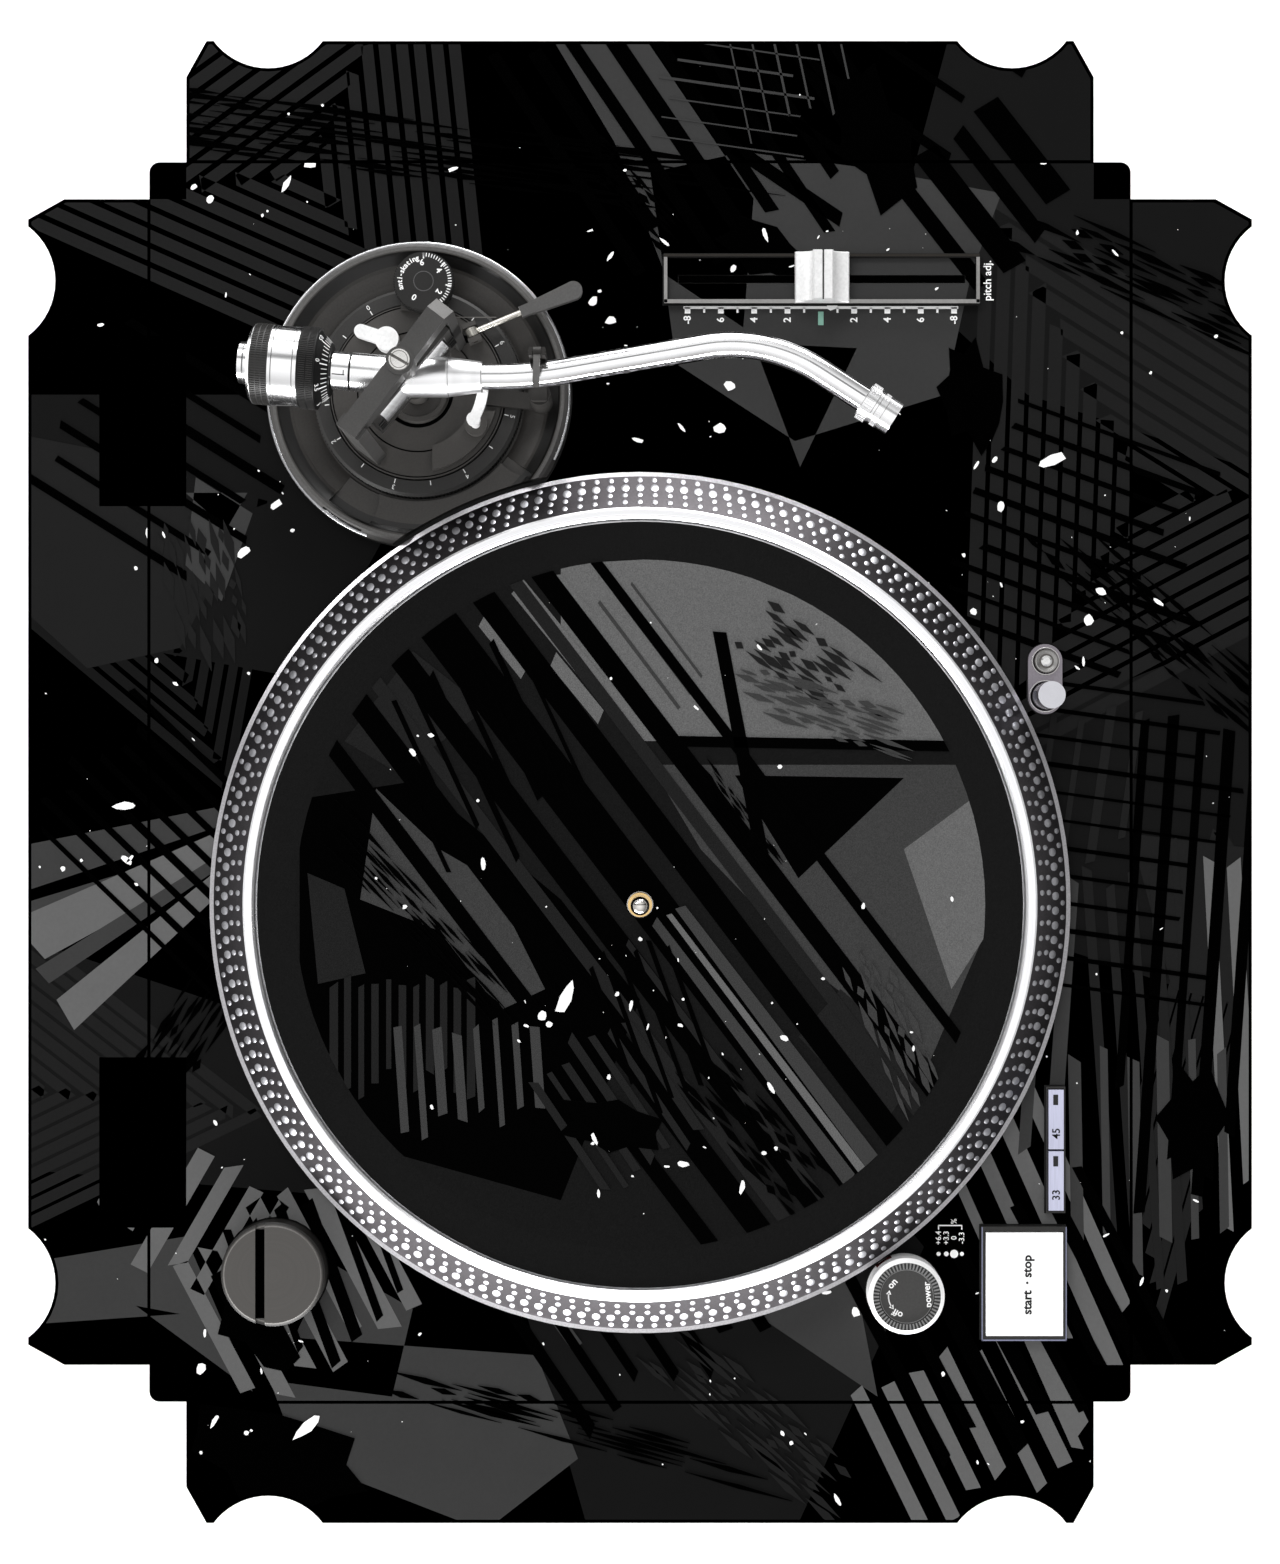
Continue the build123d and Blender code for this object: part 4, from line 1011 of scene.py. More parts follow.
SKIN_HATCHES = (                # start, direction, step direction, bars, pitch, width, length, ink
    ((-146, 118), 208, 118, 7, 12.0, 7.0, 78, INK_LIGHT),
    ((-160, 136), 150, 60, 6, 12.0, 6.4, 54, INK_LIGHT),
    ((-120, -108), 204, -66, 4, 13.0, 5.6, 150, INK_LIGHT),
    ((-26, -146), 176, -88, 3, 11.0, 5.2, 120, INK_MID),
    ((-236, -84), 206, -64, 7, 12.0, 7.0, 70, INK_LIGHT),
    ((-20, -172), 184, -86, 5, 8.6, 3.4, 190, INK_DARK),
    ((-26, -220), 183, -86, 3, 9.6, 4.6, 170, INK_LIGHT),
    ((-96, -168), 181, -88, 6, 11.4, 4.2, 104, INK_MID),
    ((30, -150), 172, -88, 5, 11.0, 3.0, 66, INK_DARK),
    ((-120, 96), 216, -60, 9, 12.0, 4.0, 130, INK_MID),
    ((286, 60), 214, -60, 9, 14.0, 6.0, 130, INK_BLACK),
    ((250, -30), 236, -44, 5, 22.0, 4.4, 80, INK_BLACK),
    ((238, -96), 218, -56, 4, 15.0, 9.0, 60, INK_BLACK),
    ((120, 240), 238, -30, 7, 12.0, 3.6, 96, INK_BLACK),
    ((-12, 238), 226, -40, 8, 9.0, 2.6, 130, INK_BLACK),
    ((-150, 110), 200, 110, 6, 11.0, 4.0, 70, INK_BLACK),
    ((-190, 60), 214, -60, 8, 13.0, 5.0, 90, INK_BLACK),
    ((-190, -80), 208, -64, 8, 14.0, 5.4, 96, INK_BLACK),
    ((30, -196), 176, -88, 5, 11.0, 3.8, 200, INK_BLACK),
    ((40, -150), 262, 172, 12, 10.5, 1.6, 90, INK_BLACK),
    ((150, -140), 250, 160, 10, 9.6, 2.2, 104, INK_BLACK),
    ((288, -10), 262, 170, 6, 7.6, 0.8, 62, INK_MID),
    ((290, -34), 192, -78, 6, 8.4, 0.8, 46, INK_MID),
)
SKIN_BRUSHES = (                # start, end, width, ink, strands
    ((262, 214), (236, 10), 22, INK_BLACK, 11),
    ((246, 20), (214, -10), 12, INK_BLACK, 7),
    ((108, 176), (60, 164), 26, INK_DARK, 9),
    ((-120, 190), (-60, 150), 20, INK_BLACK, 9),
    ((-232, 90), (-262, -20), 12, INK_BLACK, 7),
    ((-218, -10), (-272, -72), 22, INK_DARK, 10),
    ((216, -150), (176, -238), 20, INK_BLACK, 9),
    ((96, -160), (30, -236), 20, INK_BLACK, 9),
)
SKIN_SHARDS = (                 # centre, size, direction, ink, teeth
    ((250, -92), 17, 20, INK_BLACK, 6),
    ((206, -48), 12, 60, INK_BLACK, 6),
    ((150, -128), 13, 10, INK_BLACK, 7),
    ((-206, 150), 15, 30, INK_BLACK, 6),
    ((-262, 140), 20, 70, INK_BLACK, 7),
    ((-130, -214), 14, 0, INK_BLACK, 6),
)
FLECK_SPOTS = (                 # centre of each cluster, and its reach
    ((196, 48), 26), ((150, -20), 24), ((224, 150), 24), ((172, 20), 30), ((-150, 100), 40),
    ((96, -150), 34), ((-226, 150), 26), ((-226, -40), 44), ((60, -150), 24), ((196, -56), 22),
    ((-20, 214), 20), ((104, 160), 26), ((-180, -128), 16),
)


def skin_art():
    """Angular print that runs over the top sheet and all four flaps."""
    art = Artwork(17)
    art.clear = [(-188, -166, -130, -108), (174, 184, -140, 0)]
    for ink, *outline in SKIN_FIELDS:
        art.shape(outline, ink)
    for row in SKIN_TRIANGLES:
        art.triangles(*row)
    for row in SKIN_VEES:
        art.vees(*row)
    for ink, *outline in SKIN_PATCHES:
        art.shape(outline, ink)
    for index, (turn, width, ink) in enumerate(FAN_STRIPES):
        art.stripe(polar(FAN, 16 + 6 * index, turn), polar(FAN, 124, turn), width, ink, 1.9)
    for row in SKIN_HATCHES:
        art.hatch(*row)
    for row in SKIN_BRUSHES:
        art.brush(*row)
    for row in SKIN_SHARDS:
        art.shard(*row)
    art.flecks((-280, -232), (280, 232), 260, 0.9)
    for (x, y), reach in FLECK_SPOTS:
        art.flecks((x - reach, y - reach), (x + reach, y + reach), 7, 2.3)
    return art


def dress_skin():
    """Black vinyl with the print laid over it, panel by panel."""
    black = vinyl("vinyl_black", 0)
    flaps = {"rear": 0, "left": 90, "front": 180, "right": 270}       # turn from +Y, in degrees
    dress(black, "skin_top", *(f"skin_flap_{name}" for name in flaps))
    inks = [vinyl(f"skin_ink_{level}", level) for level in INK_LEVELS]
    art = skin_art()
    hinge_size = (HINGE_LENGTH, HINGE_FAR - HINGE_NEAR)
    hinges = [turned_box((x, (HINGE_NEAR + HINGE_FAR) / 2), hinge_size) for x in HINGE_BLOCKS]
    corner_x, corner_y = HALF_X - CORNER_BLOCK / 2, HALF_Y - CORNER_BLOCK / 2
    corners = [turned_box((side_x * corner_x, side_y * corner_y), (CORNER_BLOCK, CORNER_BLOCK))
               for side_x in (-1, 1) for side_y in (-1, 1)]
    holes = hinges + corners + [
        circle(SPINDLE, PLATTER_CUT_R, 72),
        circle(PIVOT, ARM_CUT_R, 48),
        circle(DIAL, DIAL_CUT_R, 24),
        circle(PUCK, PUCK_CUT_R, 32),
        turned_box(FADER, FADER_CUT),
        turned_box(START, START_CUT),
        turned_box(((KEY_33[0] + KEY_45[0]) / 2, KEY_33[1]), KEYS_CUT),
        stadium(node_centre("light_plate"), *LIGHT_CUT),
    ]
    top = Piece()
    sheet = turned_box((0, 0), (2 * (HALF_X - FOLD_LINE), 2 * (HALF_Y - FOLD_LINE)))
    art.print_on(top, sheet, holes, SKIN)
    trough = node_box("fader_bezel")[0][2] + TROUGH_LIFT
    for side in (-1, 1):
        middle = (FADER[0] + side * (TROUGH_HALF + SLIT_HALF) / 2, FADER[1])
        art.print_on(top, turned_box(middle, (TROUGH_HALF - SLIT_HALF, 119.2)), [], trough)
        slit_end = (FADER[0], FADER[1] + side * 57.6)
        art.print_on(top, turned_box(slit_end, (2 * SLIT_HALF, 4.0)), [], trough)
    top.make("skin_print_top", "chassis", inks)
    for name, side in flaps.items():
        low, high = node_box(f"skin_flap_{name}")
        long_side = side in (0, 180)
        half = high[0] if long_side else high[1]
        fold = HALF_Y if long_side else HALF_X
        outward = 1 if long_side else 0
        edge = max(-low[outward], high[outward])
        gaps = list(hinges) if side == 0 else []
        notch = NOTCH_X if long_side else NOTCH_Y
        for x in (-notch, notch):
            gaps.append(circle(turn_point((x, edge + NOTCH_BELOW), side), NOTCH_R + BORDER, 40))
        panel = Piece()
        art.print_on(panel, flap_window(side, half, fold + FOLD_GAP, edge), gaps, SKIN)
        panel.make(f"skin_print_{name}", f"flap_{name}", inks)
        bead = Piece()
        near, far = fold - 0.1, fold + FOLD_GAP - 0.02
        ends = [(half, near), (-half, near), (-half, far), (half, far)]
        bead.prism([turn_point(point, side) for point in ends], DECK - 0.5, SKIN - 0.03)
        bead.make(f"fold_bead_{name}", "chassis", [black])


# ---- small marks used on several dials ----------------------------------------------------
def ink_white():
    return grained("ink_white", grey(238), 0.55, grain=2000.0, mottle=0.03, relief=0.02)


def radial_marks(piece, centre, height, near, far, angles, width):
    """Thin level bars that point away from a centre."""
    for degrees in angles:
        middle = polar(centre, (near + far) / 2, degrees)
        piece.box(middle, (far - near, width), degrees, 0, height - 0.1, height + 0.1)


def round_text(piece, words, centre, height, radius, degrees, size, slot=0,
               facing=-90.0, bold=0.0):
    """Lettering on a circle, its baseline turned to the given side."""
    place = polar(centre, radius, degrees)
    piece.text(words, flat_text(place, height, degrees + facing), size, slot, bold=bold)


def every(count, start=0.0, sweep=360.0):
    return [start + sweep * step / count for step in range(count)]


# ---- deck controls ---------------------------------------------------------------------------
def dress_fader():
    """Trough, scale and a waisted knob with a split ridge."""
    dress(grained("bezel_grey", grey(26, 0.04), 0.5), "fader_bezel")
    x, y = FADER
    low = SKIN + 3.1             # foot of the knob
    profile = [(-10.5, low + 0.1), (-10.5, low + 1.2), (-10.1, low + 1.9)]
    reach = 6.2                  # length of each hollow flank
    for step in range(9):
        share = step / 8
        profile.append((-10.1 + reach * share, low + 1.9 + 1.7 * share ** 3.2 + 0.7 * share))
    profile += [(-3.9, low + 6.6), (-3.4, low + 7.1), (-0.5, low + 7.1), (-0.5, low + 6.2)]
    full = profile + [(-along_y, z) for along_y, z in reversed(profile)]
    ends = ((-9.75, 0.75), (-9.3, 1.0), (9.3, 1.0), (9.75, 0.75))      # place along X, share of height
    verts = []
    count = len(full)
    for shift, share in ends:
        for along_y, z in full:
            verts.append((x + shift, y + along_y, low + (z - low) * share))
    faces = [list(range(count)), list(range(3 * count, 4 * count))[::-1]]
    knob = Piece()
    knob.add(verts, faces + joined(4, count))
    knob.box(FADER, (2.0, 6.0), 0, 1, DECK - 10, low + 0.5)
    # dark bar in the ridge's groove: painted shade, in the stem's black finish
    knob.box(FADER, (18.9, 0.5), 0, 1, low + 5.6, low + 6.3)
    finishes = [grained("knob_silver", grey(226), 0.35, 0.35), grained("stem_black_and_groove_shade", grey(24), 0.5)]
    knob.make("fader_knob", "pitch_fader", finishes, ["pitch_fader"], smooth=35)
    trim = Piece()
    top = DECK + 3.0             # top of the bezel
    trim.box((x, y), (2.4, 110.4), 0, 0, DECK + 0.2, DECK + 1.36)
    painted_light_edgings = (                  # shift from the middle, size, finish; the strips on the -X side and at both ends are painted highlight, the strip on the +X side is painted shade
        ((-0.6, -60.3), (17.6, 1.3), 1),
        ((-0.6, 60.3), (17.6, 1.3), 1),
        ((-8.9, 0.0), (1.5, 121.8), 1),
        ((8.9, 0.0), (0.9, 121.6), 2),
    )
    for (shift_x, shift_y), size, slot in painted_light_edgings:
        trim.box((x + shift_x, y + shift_y), size, 0, slot, top - 0.1, top + 0.12)
    finishes = [
        grained("slot_black", grey(1), 0.8, shine=0.0),
        # painted highlight on three edges of the bezel, then painted shade on its +X edge
        grained("bezel_painted_highlight", grey(146, 0.02), 0.35, 0.7),
        grained("bezel_painted_shade", grey(34, 0.15), 0.5),
    ]
    trim.make("fader_trim", "chassis", finishes)


SCALE_X = 183.7                 # line of the pitch scale
SCALE_HALF = 52.2
SCALE_Y = -70.0
MAJOR_STEP = 12.9               # between numbers
LEGEND = (("+6.4", 0.8), ("+3.3", 0.9), ("0", 1.6), ("-3.3", 0.8))     # words, radius of the dot
LEGEND_SHIFT = (14.4, -13.4)    # first dot, from the power dial
LEGEND_PITCH = 3.0


def dress_labels():
    """White and green scale printing on the deck."""
    marks = Piece()
    low, high = SKIN, SKIN + 0.32

    def bar(centre, size, slot=0):
        marks.box(centre, size, 0, slot, low, high)

    bar((SCALE_X, SCALE_Y), (1.0, 2 * SCALE_HALF + 2.0))
    for step in range(-8, 9):
        place = SCALE_Y + step * MAJOR_STEP / 2
        if step % 2 == 0 and step != 0:
            bar((SCALE_X - 1.1, place), (2.4, 2.2))
            words = f"-{abs(step)}" if abs(step) == 8 else str(abs(step))
            marks.text(words, flat_text((SCALE_X - 4.8, place), high - LETTER_LIFT), 3.9, bold=0.08)
        elif step != 0:
            bar((SCALE_X - 1.0, place), (2.0, 0.8))
    bar((SCALE_X - 4.2, SCALE_Y), (5.2, 2.1), 1)
    title = flat_text((FADER[0] - 0.4, FADER[1] - 64.4), high - LETTER_LIFT)
    marks.text("pitch adj.", title, 4.3, bold=0.05)
    # strobe legend beside the power dial
    for row, (words, dot) in enumerate(LEGEND):
        spot = (DIAL[0] + LEGEND_SHIFT[0], DIAL[1] + LEGEND_SHIFT[1] - LEGEND_PITCH * row)
        marks.prism(circle(spot, dot, 16), low, high, 0)
        marks.text(words, flat_text((spot[0] + 6.2, spot[1]), high - LETTER_LIFT), 3.0, bold=0.03)
    bracket_x = DIAL[0] + 25.4
    bar((bracket_x, DIAL[1] - 17.9), (0.45, 9.2))
    for y in (DIAL[1] - 13.4, DIAL[1] - 22.4):
        bar((bracket_x - 0.8, y), (1.6, 0.45))
    marks.text("%", flat_text((bracket_x + 1.6, DIAL[1] - 19.4), high - LETTER_LIFT), 3.2)
    finishes = [ink_white(), grained("ink_green", (0.22, 0.42, 0.34), 0.5)]
    marks.make("deck_labels", "chassis", finishes)


def dress_keys():
    """Start button, speed keys and their dark frames, with lavender strips of painted highlight along
    three edges of the frame.
    """
    dress(grained("frame_grey", grey(56, 0.02), 0.35, 0.7), "key_frames")
    dress(grained("button_white", grey(253), 0.35, 0.1, grain=1800.0, mottle=0.01), "start_stop_button")
    lavender = grained("key_lavender", (0.52, 0.53, 0.67), 0.35, 0.6, grain=1500.0, stretch=(0.05, 1, 1))
    dress(lavender, "speed_key_33", "speed_key_45")
    black = grained("ink_black", grey(16), 0.5)
    top = node_top("start_stop_button")
    words = Piece()
    for word, shift in (("start", -7.0), ("stop", 7.0)):
        words.text(word, flat_text((START[0] + shift, START[1] - 1.1), top), 4.9, bold=0.13)
    words.prism(circle((START[0] + 0.6, START[1] - 1.0), 0.5, 12), top - 0.1, top + 0.06)
    words.make("start_stop_words", "start_stop_button", [black])
    lamp = grained("lamp_window", grey(40), 0.2, grain=200.0)
    for number, centre in (("33", KEY_33), ("45", KEY_45)):
        top = node_top(f"speed_key_{number}")
        mark = Piece()
        mark.text(number, flat_text((centre[0] - 5.4, centre[1] - 0.1), top), 4.2, bold=0.06)
        mark.box((centre[0] + 7.6, centre[1] + 0.2), (4.0, 1.9), 0, 1, top - 0.3, top + 0.05)
        mark.make(f"key_words_{number}", f"speed_key_{number}", [black, lamp])
    # lavender strips on the frame's -X edge and both long edges: painted highlight
    edge = Piece()
    frame_top = DECK + 3.5
    strips = ((-21.75, 0, (0.5, 32.7)), (0, -16.2, (43.8, 0.4)), (0, 16.2, (43.8, 0.4)))
    for shift_x, shift_y, size in strips:
        place = (START[0] + shift_x, START[1] + shift_y)
        edge.box(place, size, 0, 0, frame_top - 0.2, frame_top + 0.1)
    finish = grained("frame_painted_highlight", (0.22, 0.23, 0.33), 0.35, 0.6)
    edge.make("frame_painted_highlights", "chassis", [finish])


RIB_R = 11.75                   # middle of the crown's ribs
WORDS_R = 7.4                   # of the lettering on the dial's face
ARROW_R = 7.0


def dress_dial():
    """White collar, ribbed dark crown and printed top of the power switch."""
    dress(grained("collar_white", grey(250), 0.35, mottle=0.03), "dial_base")
    dress(grained("lamp_red", (0.05, 0.008, 0.008), 0.2, coat=0.1), "strobe_lamp")
    crown = turned_metal("dial_crown", grey(250), 0.35, DIAL, 0.1, relief=0.03, dark=[
        ("radius", 0.0, 12.95, grey(6), 0.5, 0.0),
        ("radius", 0.0, 10.3, grey(44, 0.03), 0.45, 0.0),
    ])
    dress(crown, "power_dial")
    top = node_top("power_dial")
    ribs = Piece()
    for degrees in every(56):
        middle = polar(DIAL, RIB_R, degrees)
        ribs.box(middle, (2.3, 0.6), degrees, 0, top - 0.6, top + 0.2)
    face = top - 0.5
    ribs.spun(DIAL, face, [(-0.2, 10.35), (0.06, 10.35), (0.06, 10.05), (-0.2, 10.05)], 0, 48)
    round_text(ribs, "on", DIAL, face, WORDS_R, 48, 3.7, 1, bold=0.08)
    round_text(ribs, "off", DIAL, face, WORDS_R, 152, 3.7, 1, bold=0.08)
    round_text(ribs, "power", DIAL, face, 8.0, -85, 3.7, 1, facing=90.0, bold=0.08)
    for step in range(14):
        degrees = 80 + 46 * step / 13
        middle = polar(DIAL, ARROW_R, degrees)
        ribs.box(middle, (0.5, 0.55), degrees, 1, face - 0.1, face + 0.07)
    for degrees, turn in ((70, -1), (134, 1)):
        back = degrees - turn * 13
        corners = ((ARROW_R, degrees), (ARROW_R + 1, back), (ARROW_R - 1, back))
        ribs.prism([polar(DIAL, *corner) for corner in corners], face - 0.1, face + 0.07, 1)
    finishes = [grained("rib_grey", grey(124), 0.4, 0.3), ink_white()]
    ribs.make("dial_face", "power_dial", finishes)


def dress_target_light():
    """Satin plate, turned lamp tower and round key with a bright crescent."""
    dress(grained("plate_satin", (0.24, 0.22, 0.245), 0.35, 0.8, grain=1400.0), "light_plate")
    tower = turned_metal("tower_metal", (0.62, 0.62, 0.66), 0.3, LIGHT, lines=5.0, relief=0.2)
    tower.node_tree.nodes["Principled BSDF"].inputs["Anisotropic"].default_value = 0.7
    dress(tower, "target_light")
    dress(grained("key_satin", grey(92, 0.05), 0.3, 0.8), "light_key")
    top = node_top("light_plate")
    rim = Piece()
    for centre, radius in ((LIGHT_KEY, 5.0), (LIGHT, 5.8)):
        profile = [(-0.2, radius), (0.16, radius + 0.1), (0.16, radius + 0.35), (-0.2, radius + 0.6)]
        rim.spun(centre, top, profile, 0, 40)
    rim.make("light_rims", "chassis", [grained("rim_bright", grey(190, 0.02), 0.3, 0.9)])
    key = Piece()
    crown = node_top("light_key")
    ring = [(-0.3, 4.5), (0.35, 4.3), (0.4, 3.9), (-0.1, 2.6), (-0.2, 2.6), (-0.3, 2.6)]
    key.spun(LIGHT_KEY, crown, ring, 0, 40)
    button = [(-0.2, 2.2), (0.5, 2.1), (0.75, 1.4), (0.8, 0.01), (-0.2, 0.01)]
    key.spun(LIGHT_KEY, crown, button, 1, 32)
    finishes = [
        grained("cap_ring", grey(150, 0.02), 0.3, 0.9),
        grained("cap_bright", grey(214), 0.2, 0.9),
    ]
    key.make("light_key_cap", "light_key", finishes)


PUCK_SLOT = (4.8, 3.6, 2.4)     # slot's shift toward the back, width and depth


def dress_adaptor():
    """Soft grey-brown puck with a ring of painted highlight at its top edge, painted shade on its side,
    and its slot lined black as painted shade.
    """
    puck = turned_metal("puck_grey", grey(60, 0.08), 0.55, PUCK, 0.0, lines=0.6, relief=0.05, dark=[
        # lighter ring at the top edge: painted highlight; darker zone on the side: painted shade
        ("radius", 18.4, 18.9, grey(104, 0.05), 0.45, 0.0),
        ("radius", 19.3, 22.0, grey(26, 0.1), 0.5, 0.0),
    ])
    dress(puck, "adaptor_45")
    slot = Piece()
    shift, width, depth = PUCK_SLOT
    middle = PUCK[1] + shift
    floor = node_top("adaptor_45") - depth
    half = width / 2
    # black lining on the slot's floor and walls: painted shade in the recess
    slot.box((PUCK[0], middle), (34.2, 2 * half - 0.04), 0, 0, floor - 0.2, floor + 0.06)
    for side in (-1, 1):
        slot.box((PUCK[0], middle + side * half), (33.8, 0.12), 0, 0, floor - 0.1, floor + depth - 0.1)
    slot.make("puck_slot", "adaptor_45", [grained("puck_slot_painted_shade", grey(1), 0.9, shine=0.0)])


# ---- tonearm ------------------------------------------------------------------------------------
def shaft_axes(degrees):
    """Axis, upward and sideways directions of a level shaft."""
    axis = Vector((*unit(degrees), 0))
    up = Vector((0, 0, 1))
    return axis, up, axis.cross(up)


def on_shaft(shift, radius, turn):
    """Point round the rear shaft, and its outward direction."""
    axis, up, side = shaft_axes(REAR_DEG)
    outward = up * math.cos(math.radians(turn)) + side * math.sin(math.radians(turn))
    return Vector((*PIVOT, ARM_Z)) + axis * shift + outward * radius, outward


def surface_bar(piece, start, end, normal, width):
    """Thin bar along a surface from start to end."""
    run = (end - start).normalized()
    across = normal.cross(run).normalized() * (width / 2)
    verts = []
    for point in (start, end):
        for lift in (-0.15, 0.06):
            for side in (-1, 1):
                verts.append(tuple(point + across * side + normal * lift))
    faces = [[0, 1, 3, 2], [4, 6, 7, 5], [0, 2, 6, 4], [1, 5, 7, 3], [0, 4, 5, 1], [2, 3, 7, 6]]
    piece.add(verts, faces)


RING_TOP = node_top("height_ring")
RING_OUT = 40.0
RING_KNURL = (102.0, 106.6)     # heights of the knurled side
PLATE_TOP = 109.6
BASE_LIP = (55.0, 57.3)         # grey band inside the base dish's edge
RIM_BEAD_R = 57.9
RIM_BEAD_TURNS = (-116, 164, 4)  # degrees: first, end and step, clear of the platter
CUE_SLOT = (169.6, 67.5)        # middle of the slot in the column plate


def dress_arm_base():
    """Dark dish with a bright edge and painted shade inside its wall, height ring with its scale, and
    the column plate with a painted shadow round its boss.
    """
    lip_in, lip_out = BASE_LIP
    dish = turned_metal("dish_bronze_and_wall_shade", grey(52, 0.05), 0.4, PIVOT, 0.2, relief=0.03, dark=[
        ("radius", 0.0, lip_out, grey(78, 0.03), 0.4, 0.2),
        ("radius", 0.0, lip_in, grey(48, 0.08), 0.42, 0.2),
        # darkest ring just inside the lip: painted shade on the dish's inner wall
        ("radius", 50.2, lip_in - 0.6, grey(16, 0.05), 0.35, 0.2),
    ])
    dress(dish, "arm_base")
    edge = Piece()
    path = [Vector(polar(PIVOT, RIM_BEAD_R, turn)) for turn in range(*RIM_BEAD_TURNS)]
    edge.pipe(path, 0.9, DECK + 4.7, steps=16)
    bright = grained("dish_edge", (0.4, 0.4, 0.41), 0.25, 1.0)
    edge.make("dish_edge", "chassis", [bright], smooth=60)
    satin = grained("column_satin", grey(66, 0.05), 0.45, grain=1600.0, mottle=0.1, relief=0.1)
    dress(satin, "arm_column")
    dress(grained("ring_satin", grey(52, 0.02), 0.42, grain=1600.0), "height_ring")
    white = ink_white()
    ring = Piece()
    ring.ribs((*PIVOT, 0), (0, 0, 1), RING_OUT, *RING_KNURL, 170, 0.28, 0.6, 1)
    radial_marks(ring, PIVOT, RING_TOP, 34.3, 36.0, every(16, 8), 0.35)
    for index, degrees in enumerate(every(8, 30.5)):
        round_text(ring, str(index % 7), PIVOT, RING_TOP, 37.4, degrees, 2.6)
    finishes = [white, grained("knurl_black", grey(10), 0.5)]
    ring.make("height_ring_marks", "height_ring", finishes)
    plate = Piece()
    dark = 1                     # finish slot of the dark rings and the slot; the innermost ring, round the raised boss, is a painted shadow
    for radius, width in ((13.8, 1.4), (23.2, 0.5), (32.9, 0.4)):
        profile = [(-0.3, radius - width), (0.08, radius - width), (0.08, radius), (-0.3, radius)]
        plate.spun(PIVOT, PLATE_TOP, profile, dark)
    plate.spun(PIVOT, PLATE_TOP, [(-0.3, 9.4), (1.4, 9.8), (1.4, 11.6), (-0.3, 12.4)])
    plate.prism(stadium_turned(CUE_SLOT, 7.4, 2.9, -90), PLATE_TOP - 0.2, PLATE_TOP + 0.1, dark)
    for place, turn, length in (((178.0, 70.0), -90, 30.0), ((163.2, 72.5), 0, 14.0)):
        plate.box(place, (length, 0.35), turn, 2, PLATE_TOP - 0.1, PLATE_TOP + 0.1)
    for degrees in (205, 325):
        spot = polar(PIVOT, 27.5, degrees)
        plate.spun(spot, PLATE_TOP, [(-0.2, 1.9), (0.5, 1.8), (0.6, 0.01), (-0.2, 0.01)], 0, 24)
    # black for the slot and the outer lines, and painted shadow round the boss
    gap = grained("gap_black_and_painted_shadow", grey(3), 0.8, shine=0.0)
    line = grained("plate_line", grey(96, 0.05), 0.4)
    plate.make("plate_details", "arm_column", [satin, gap, line])


def stadium_turned(centre, length, width, degrees):
    """Slot outline turned to a plan direction."""
    flat = stadium((0, 0), length, width)
    return [(centre[0] + x, centre[1] + y) for x, y in (turn_point(point, degrees) for point in flat)]


KNOB_R = 11.45
KNOB_FLUTES = (113.4, 116.6)    # heights of the fluted side


def dress_knob():
    """Anti-skate knob: fluted side, tick scale, numbers and a dished middle."""
    dress(grained("knob_black", grey(40, 0.02), 0.45, grain=1500.0), "antiskate_knob")
    top = node_top("antiskate_knob")
    face = Piece()
    face.ribs((*KNOB, 0), (0, 0, 1), KNOB_R, *KNOB_FLUTES, 72, 0.2, 0.5, 1)
    radial_marks(face, KNOB, top, 9.3, 10.7, every(26, -150, 156), 0.34)
    radial_marks(face, KNOB, top, 8.5, 10.7, every(4, -150, 200), 0.5)
    for words, degrees in (("6", 5), ("4", -55), ("2", -125), ("0", 150)):
        round_text(face, words, KNOB, top, 7.0, degrees, 3.2, bold=0.08)
    for index, letter in enumerate("anti-skating"):
        round_text(face, letter, KNOB, top, 9.0, 108 - 8.4 * index, 2.8, bold=0.07)
    dished = 3.9                 # outer radius of the ring round the dished middle
    profile = [(-0.2, dished), (0.1, dished - 0.05), (0.1, dished - 0.35), (-0.2, dished - 0.4)]
    face.spun(KNOB, top, profile, 2, 48)
    finishes = [ink_white(), grained("flute_black", grey(34), 0.45), grained("knob_ring", grey(84), 0.4)]
    face.make("knob_face", "antiskate_knob", finishes)


CUE_HINGE = joint_place("cue_lever_tilt")[:2]
CUE_DEG = -67.6                 # direction of the cue lever
TUBE_BEND = (149.5, 40.4)       # first corner of the tube's path, before rounding
TUBE_END = (141.60, -82.01)
TUBE_POINTS = [(149.5, 58.4), TUBE_BEND, polar(TUBE_BEND, 88.1, -80.2), TUBE_END]
TUBE_BENDS = (150.0, 60.0)      # radii that round the two corners
TUBE_R = 4.75
SHAFT_R = 7.1                   # rear shaft
COLLAR_KNURLS = (               # radius, from, to, bars, depth, share
    (6.85, 1.2, 4.8, 36, 0.42, 0.6),
    (6.35, 7.0, 9.0, 48, 0.2, 0.5),
)


